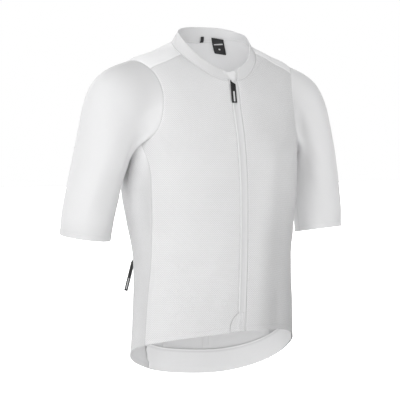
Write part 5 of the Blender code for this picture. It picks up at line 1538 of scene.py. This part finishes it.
def rounded(outline, radii, steps=5):
    """Outline with its corners rounded."""
    out = []
    n = len(outline)
    for i, (p, r) in enumerate(zip(outline, radii)):
        p, a, b = (np.array(q, float) for q in (p, outline[i - 1], outline[(i + 1) % n]))
        if r <= 0:
            out.append(p)
            continue
        u, v = unit(a - p), unit(b - p)
        half = math.acos(max(-1.0, min(1.0, float(u@v))))/2
        cut = min(r/math.tan(half), 0.45*np.linalg.norm(a - p), 0.45*np.linalg.norm(b - p))
        for t in np.linspace(0, 1, steps):
            out.append((p + u*cut)*(1 - t)**2 + p*2*t*(1 - t) + (p + v*cut)*t**2)
    return np.array(out)


def slab(name, outline, pivot, across, down, out, low, high, soft, finish, slot, body, nodes=()):
    """Flat moulded piece with softened edges, from low to high along out."""
    outline = np.asarray(outline)
    n = len(outline)
    way = np.roll(outline, -1, 0) - np.roll(outline, 1, 0)
    inward = unit(np.stack([-way[:, 1], way[:, 0]], -1))
    area = 0.5*(outline[:, 0]*np.roll(outline[:, 1], -1) - np.roll(outline[:, 0], -1)*outline[:, 1]).sum()
    inward = inward*(1 if area > 0 else -1)
    levels = [(low, soft), (low + 0.35*soft, 0.3*soft), (low + soft, 0.0), (high - soft, 0.0), (high - 0.35*soft, 0.3*soft), (high, soft)]
    points, uv = [], []
    for h, inset in levels:
        o = outline + inward*inset
        points.append(pivot + across*o[:, :1] + down*o[:, 1:] + out*h)
        uv.append(o)
    points, uv = np.concatenate(points), np.concatenate(uv)
    faces = [list(range(n))[::-1], [5*n + k for k in range(n)]]
    for r in range(5):
        for k in range(n):
            faces.append([r*n + k, r*n + (k + 1) % n, (r + 1)*n + (k + 1) % n, (r + 1)*n + k])
    if area < 0:
        faces = [f[::-1] for f in faces]
    # check which way the faces look
    tri = [(f[0], f[i], f[i + 1]) for f in faces for i in range(1, len(f) - 1)]
    t = np.array(tri)
    c = points.mean(0)
    if ((points[t[:, 0]] - c)*np.cross(points[t[:, 1]] - c, points[t[:, 2]] - c)).sum() < 0:
        faces = [f[::-1] for f in faces]
    corner = np.concatenate([uv[f] for f in faces])
    return make(name, points, faces, corner, finish, slot, body=body, nodes=nodes, sharp=50)


def pull_outline(length, eye, heel, neck, right, left):
    """Tape pull: an eye that turns in the slider, a neck and a square-ended tab; right and left say how far out each side is and where it gets there."""
    e = eye/2
    return [(-e, -heel), (e, -heel), (e, neck), right, (right[0], length), (-left[0], length), (-left[0], left[1]), (-e, neck)]


FRONT_PULL = {"length": PULL_LENGTH - 0.0005, "eye": 0.0020, "heel": 0.0007, "neck": 0.0018, "right": (0.0098, 0.0068), "left": (0.0010, 0.0050)}
POCKET_PULL = {"length": 0.0675, "eye": 0.0014, "heel": 0.0005, "neck": 0.0045, "right": (0.0045, 0.0110), "left": (0.0045, 0.0110)}
PULL_CORNERS = (0.0004, 0.0004, 0.0, 0.0007, 0.0009, 0.0009, 0.0, 0.0)


def pull_pieces(name, node, body, pivot, across, down, out, sizes, bar):
    """Bonded black pull: eye, neck and tab with one plain pale bar, whose columns are its middle, top, foot and width."""
    shape = rounded(pull_outline(**sizes), PULL_CORNERS)
    half = PULL_THICK/2
    tab = slab(name, shape, pivot, across, down, out, -half, half, 0.00032, BLACK, "black_tape", body, nodes=(node,))
    middle, a, b, wide = bar
    strip = rounded([(middle - wide/2, a), (middle + wide/2, a), (middle + wide/2, b), (middle - wide/2, b)], (0.0006,)*4)
    mark = slab(name + "_bar", strip, pivot, across, down, out, half - 0.00005, half + 0.00014, 0.00005, PALE, "white_moulding", body)
    return tab, mark


def twisted(across, out, turn):
    """Face and width directions of a tape turned about its length, its face towards the wearer's front for a positive turn."""
    t = math.radians(turn)*(1 if across[1] < 0 else -1)
    return out*math.cos(t) + across*math.sin(t), across*math.cos(t) - out*math.sin(t)


POCKET_PULL_TWIST = 66.0


def front_pull():
    p, n, up, across = frame_at(np.array(-4.0), np.array(0.26))
    pivot = eye_of(p + n*(ZIP_PROUD + GAP), n, up, 0.0100, 0.0022, 0.0025) - across*0.0029
    tip = torso(np.array(-3.5), np.array(2.55)) + torso_normal(np.array(-3.5), np.array(2.55))*(ZIP_PROUD + 0.0016)
    down = unit(tip - pivot)
    out = unit(np.cross(across, down))
    out = -out if out[1] > 0 else out
    side = np.cross(down, out)
    side = side if side[0] > 0 else -side
    pull_pieces("zip_pull_tab", "zip_pull", "zip_pull", pivot, side, down, out, FRONT_PULL, (0.0046, 0.0205, 0.0400, 0.0033))



def pocket_pull():
    ring = float(ring_of_height(np.array(POCKET_ZIP_TOP - 0.004)))
    p, n, up, across = frame_at(np.array(POCKET_ZIP_ANGLE), np.array(ring))
    pivot = eye_of(p + n*(EASE + 2*BAND + 4*GAP), n, up, 0.0085, 0.0020, 0.0020)
    stand = math.radians(21)
    down = unit(-up*math.cos(stand) + n*math.sin(stand))
    out = unit(np.cross(across, down))
    out = -out if (out*n).sum() < 0 else out
    face, side = twisted(across, out, POCKET_PULL_TWIST)
    pull_pieces("pocket_pull_tab", "pocket_pull", "pocket_pull", pivot, side, down, face, POCKET_PULL, (0.0006, 0.0420, 0.0640, 0.0024))



# ------------------------------------------------------------------ make everything
for side, tag in SIDES:
    front_cloth(side)
    side_cloth(side)
    sleeve_cloth(side)
back_cloth()
collar_cloth()
strip_cloth()
guard_cloth()
zip_tape_ends()
gripper_cloth()
pocket_cloth()
pocket_zip_cloth()
tab_cloth()
label_cloth()
front_pull()
pocket_pull()

WITH = {k: [] for k in ("front_left", "front_right", "side_left", "side_right", "back", "sleeve_left", "sleeve_right", "collar",
                        "zip_strip", "back_pockets")}
for side, tag in SIDES:
    WITH["sleeve_" + tag] += [seam_tape("arm_tape_" + tag, "arm_" + tag)]
    WITH["front_" + tag] += [seam_tape("side_front_tape_" + tag, "side_front_" + tag), seam_tape("zip_tape_inner_" + tag, "zip_" + tag)]
    WITH["back"] += [seam_tape("side_back_tape_" + tag, "side_back_" + tag), seam_tape("shoulder_tape_" + tag, "shoulder_" + tag)]
    WITH["zip_strip"] += [stitch_row("zip_stitches_" + tag, "zip_" + tag, "a", 0.0016)]
    WITH["front_" + tag] += [stitch_row("side_front_stitches_" + tag, "side_front_" + tag, "a", 0.0019)]
    WITH["back"] += [stitch_row("side_back_stitches_" + tag, "side_back_" + tag, "a", 0.0019),
                     stitch_row("shoulder_stitches_" + tag, "shoulder_" + tag, "b", 0.0019)]
    WITH["sleeve_" + tag] += [stitch_row("arm_stitches_" + tag, "arm_" + tag, "a", 0.0019)]
WITH["collar"] += [seam_tape("neck_tape", "neck"), stitch_row("neck_stitches", "neck", "b", 0.0042, part="collar", rise=-0.0002)]

for tag in ("left", "right"):
    WITH["zip_strip"] += [PIECES["zip_end_" + tag][0], PIECES["coil_" + tag][0]]
WITH["back_pockets"] += [PIECES["pocket_binding"][0]]
WITH["back"] += [division_tape("division_tape_left", POCKET_SPLITS[0]), division_tape("division_tape_right", POCKET_SPLITS[1])]
WITH["collar"] += [PIECES["hang_loop"][0]]
WITH["neck_label"] = list(PIECES["label_marks"][0])

for key, (obj, size) in PIECES.items():
    if size is not None:
        declare(obj, size, WITH.get(key, ()))

# the two sliders keep their shape and take a satin finish
for node in ("zip_slider", "pocket_slider"):
    obj = bpy.data.objects[node]
    for slot in obj.material_slots:
        slot.material = MOULDED


# ------------------------------------------------------------------ studio
def studio():
    scene = bpy.context.scene
    scene.view_settings.view_transform = "Standard"
    scene.view_settings.look = "None"
    scene.view_settings.exposure = 0.0
    scene.view_settings.gamma = 1.0

    world = bpy.data.worlds.new("studio")
    scene.world = world
    world.use_nodes = True
    nodes, links = world.node_tree.nodes, world.node_tree.links
    light = nodes["Background"]
    light.inputs["Color"].default_value = (1.0, 1.0, 1.0, 1.0)
    # the soft surround is a little brighter one way than the other
    place, lean, level = nodes.new("ShaderNodeTexCoord"), nodes.new("ShaderNodeVectorMath"), nodes.new("ShaderNodeMath")
    lean.operation, lean.inputs[1].default_value = "DOT_PRODUCT", AMBIENT_LEAN
    level.operation, level.inputs[1].default_value, level.inputs[2].default_value = "MULTIPLY_ADD", AMBIENT, AMBIENT
    links.new(place.outputs["Generated"], lean.inputs[0])
    links.new(lean.outputs["Value"], level.inputs[0])
    links.new(level.outputs[0], light.inputs["Strength"])
    seen = nodes.new("ShaderNodeBackground")
    seen.inputs["Color"].default_value = (1.0, 1.0, 1.0, 1.0)
    seen.inputs["Strength"].default_value = 1.0
    path, mix = nodes.new("ShaderNodeLightPath"), nodes.new("ShaderNodeMixShader")
    links.new(path.outputs["Is Camera Ray"], mix.inputs[0])
    links.new(light.outputs[0], mix.inputs[1])
    links.new(seen.outputs[0], mix.inputs[2])
    links.new(mix.outputs[0], nodes["World Output"].inputs["Surface"])

    for name, turned, raised, energy, size in LIGHTS:
        lamp = bpy.data.lights.new(name, "SUN")
        lamp.energy, lamp.angle = energy, math.radians(size)
        obj = bpy.data.objects.new(name, lamp)
        a, e = math.radians(turned), math.radians(raised)
        way = Vector((math.sin(a)*math.cos(e), -math.cos(a)*math.cos(e), math.sin(e)))
        obj.rotation_euler = way.to_track_quat("Z", "Y").to_euler()
        bpy.context.collection.objects.link(obj)
    for name, kind, place, way, energy, size in LAMPS:
        lamp = bpy.data.lights.new(name, kind)
        lamp.energy = energy
        if kind == "AREA":
            lamp.size = size
        else:
            lamp.shadow_soft_size = size
        obj = bpy.data.objects.new(name, lamp)
        obj.location = place
        obj.rotation_euler = Vector(way).to_track_quat("Z", "Y").to_euler()
        bpy.context.collection.objects.link(obj)

    mesh = bpy.data.meshes.new("floor")
    s, z = 40.0, -1.45
    mesh.from_pydata([(-s, -s, z), (s, -s, z), (s, s, z), (-s, s, z)], [], [(0, 1, 2, 3)])
    floor = bpy.data.objects.new("floor", mesh)
    bpy.context.collection.objects.link(floor)
    m = bpy.data.materials.new("studio_floor")
    m.use_nodes = True
    t = m.node_tree
    b = t.nodes["Principled BSDF"]
    b.inputs["Base Color"].default_value = (0.86, 0.86, 0.86, 1.0)
    b.inputs["Roughness"].default_value = 0.9
    b.inputs["Specular IOR Level"].default_value = 0.1
    b.inputs["Emission Color"].default_value = (1.0, 1.0, 1.0, 1.0)
    place, length, band = t.nodes.new("ShaderNodeTexCoord"), t.nodes.new("ShaderNodeVectorMath"), t.nodes.new("ShaderNodeMapRange")
    length.operation = "LENGTH"
    band.inputs[1].default_value, band.inputs[2].default_value, band.inputs[3].default_value, band.inputs[4].default_value = 2.0, 4.2, 0.0, 1.0
    t.links.new(place.outputs["Object"], length.inputs[0])
    t.links.new(length.outputs["Value"], band.inputs[0])
    t.links.new(band.outputs[0], b.inputs["Emission Strength"])
    mesh.materials.append(m)

    # camera: round to the wearer's right, just under shoulder height, looking slightly down
    turn, far, height, aim_turn, pitch, roll, focal = 34.2189, 2.7026, -0.205, 33.6505, -2.0199, -0.1027, 1404.0
    a, b_, p, r = (math.radians(v) for v in (turn, aim_turn, pitch, roll))
    place = Vector((-far*math.sin(a), -far*math.cos(a), height))
    aim = Vector((math.sin(b_)*math.cos(p), math.cos(b_)*math.cos(p), math.sin(p)))
    right = aim.cross(Vector((0.0, 0.0, 1.0))).normalized()
    up = right.cross(aim).normalized()
    right, up = right*math.cos(r) + up*math.sin(r), up*math.cos(r) - right*math.sin(r)
    data = bpy.data.cameras.new("camera")
    data.sensor_fit, data.sensor_width, data.lens = "HORIZONTAL", 36.0, focal*36.0/400.0
    data.clip_start, data.clip_end = 0.05, 200.0
    data.dof.use_dof = False
    cam = bpy.data.objects.new("camera", data)
    cam.matrix_world = Matrix(((right.x, up.x, -aim.x, place.x), (right.y, up.y, -aim.y, place.y),
                               (right.z, up.z, -aim.z, place.z), (0, 0, 0, 1)))
    bpy.context.collection.objects.link(cam)
    scene.camera = cam


AMBIENT = 0.245
AMBIENT_LEAN = (-0.40, -0.1, 0.05)         # share by which the surround is brighter towards +X, +Y and +Z
LIGHTS = (                # name, degrees round from the front to the wearer's left, height in degrees, strength, size in degrees
    ("key", -51.0, 15.0, 1.17, 50.0),
    ("high", -55.0, 50.0, 0.76, 50.0),
    ("rim", 180.0, 40.0, 1.00, 50.0),
    ("top", 22.0, 78.0, 0.50, 50.0),
)
LAMPS = (                 # name, kind, place, way it is faced from, strength, size in metres
    ("inner_bounce", "POINT", (0.0, 0.0, -0.15), (0.0, 0.0, 1.0), 0.36, 0.06),
)
studio()

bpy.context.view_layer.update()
for row in CUTS:
    print("cut", *row)
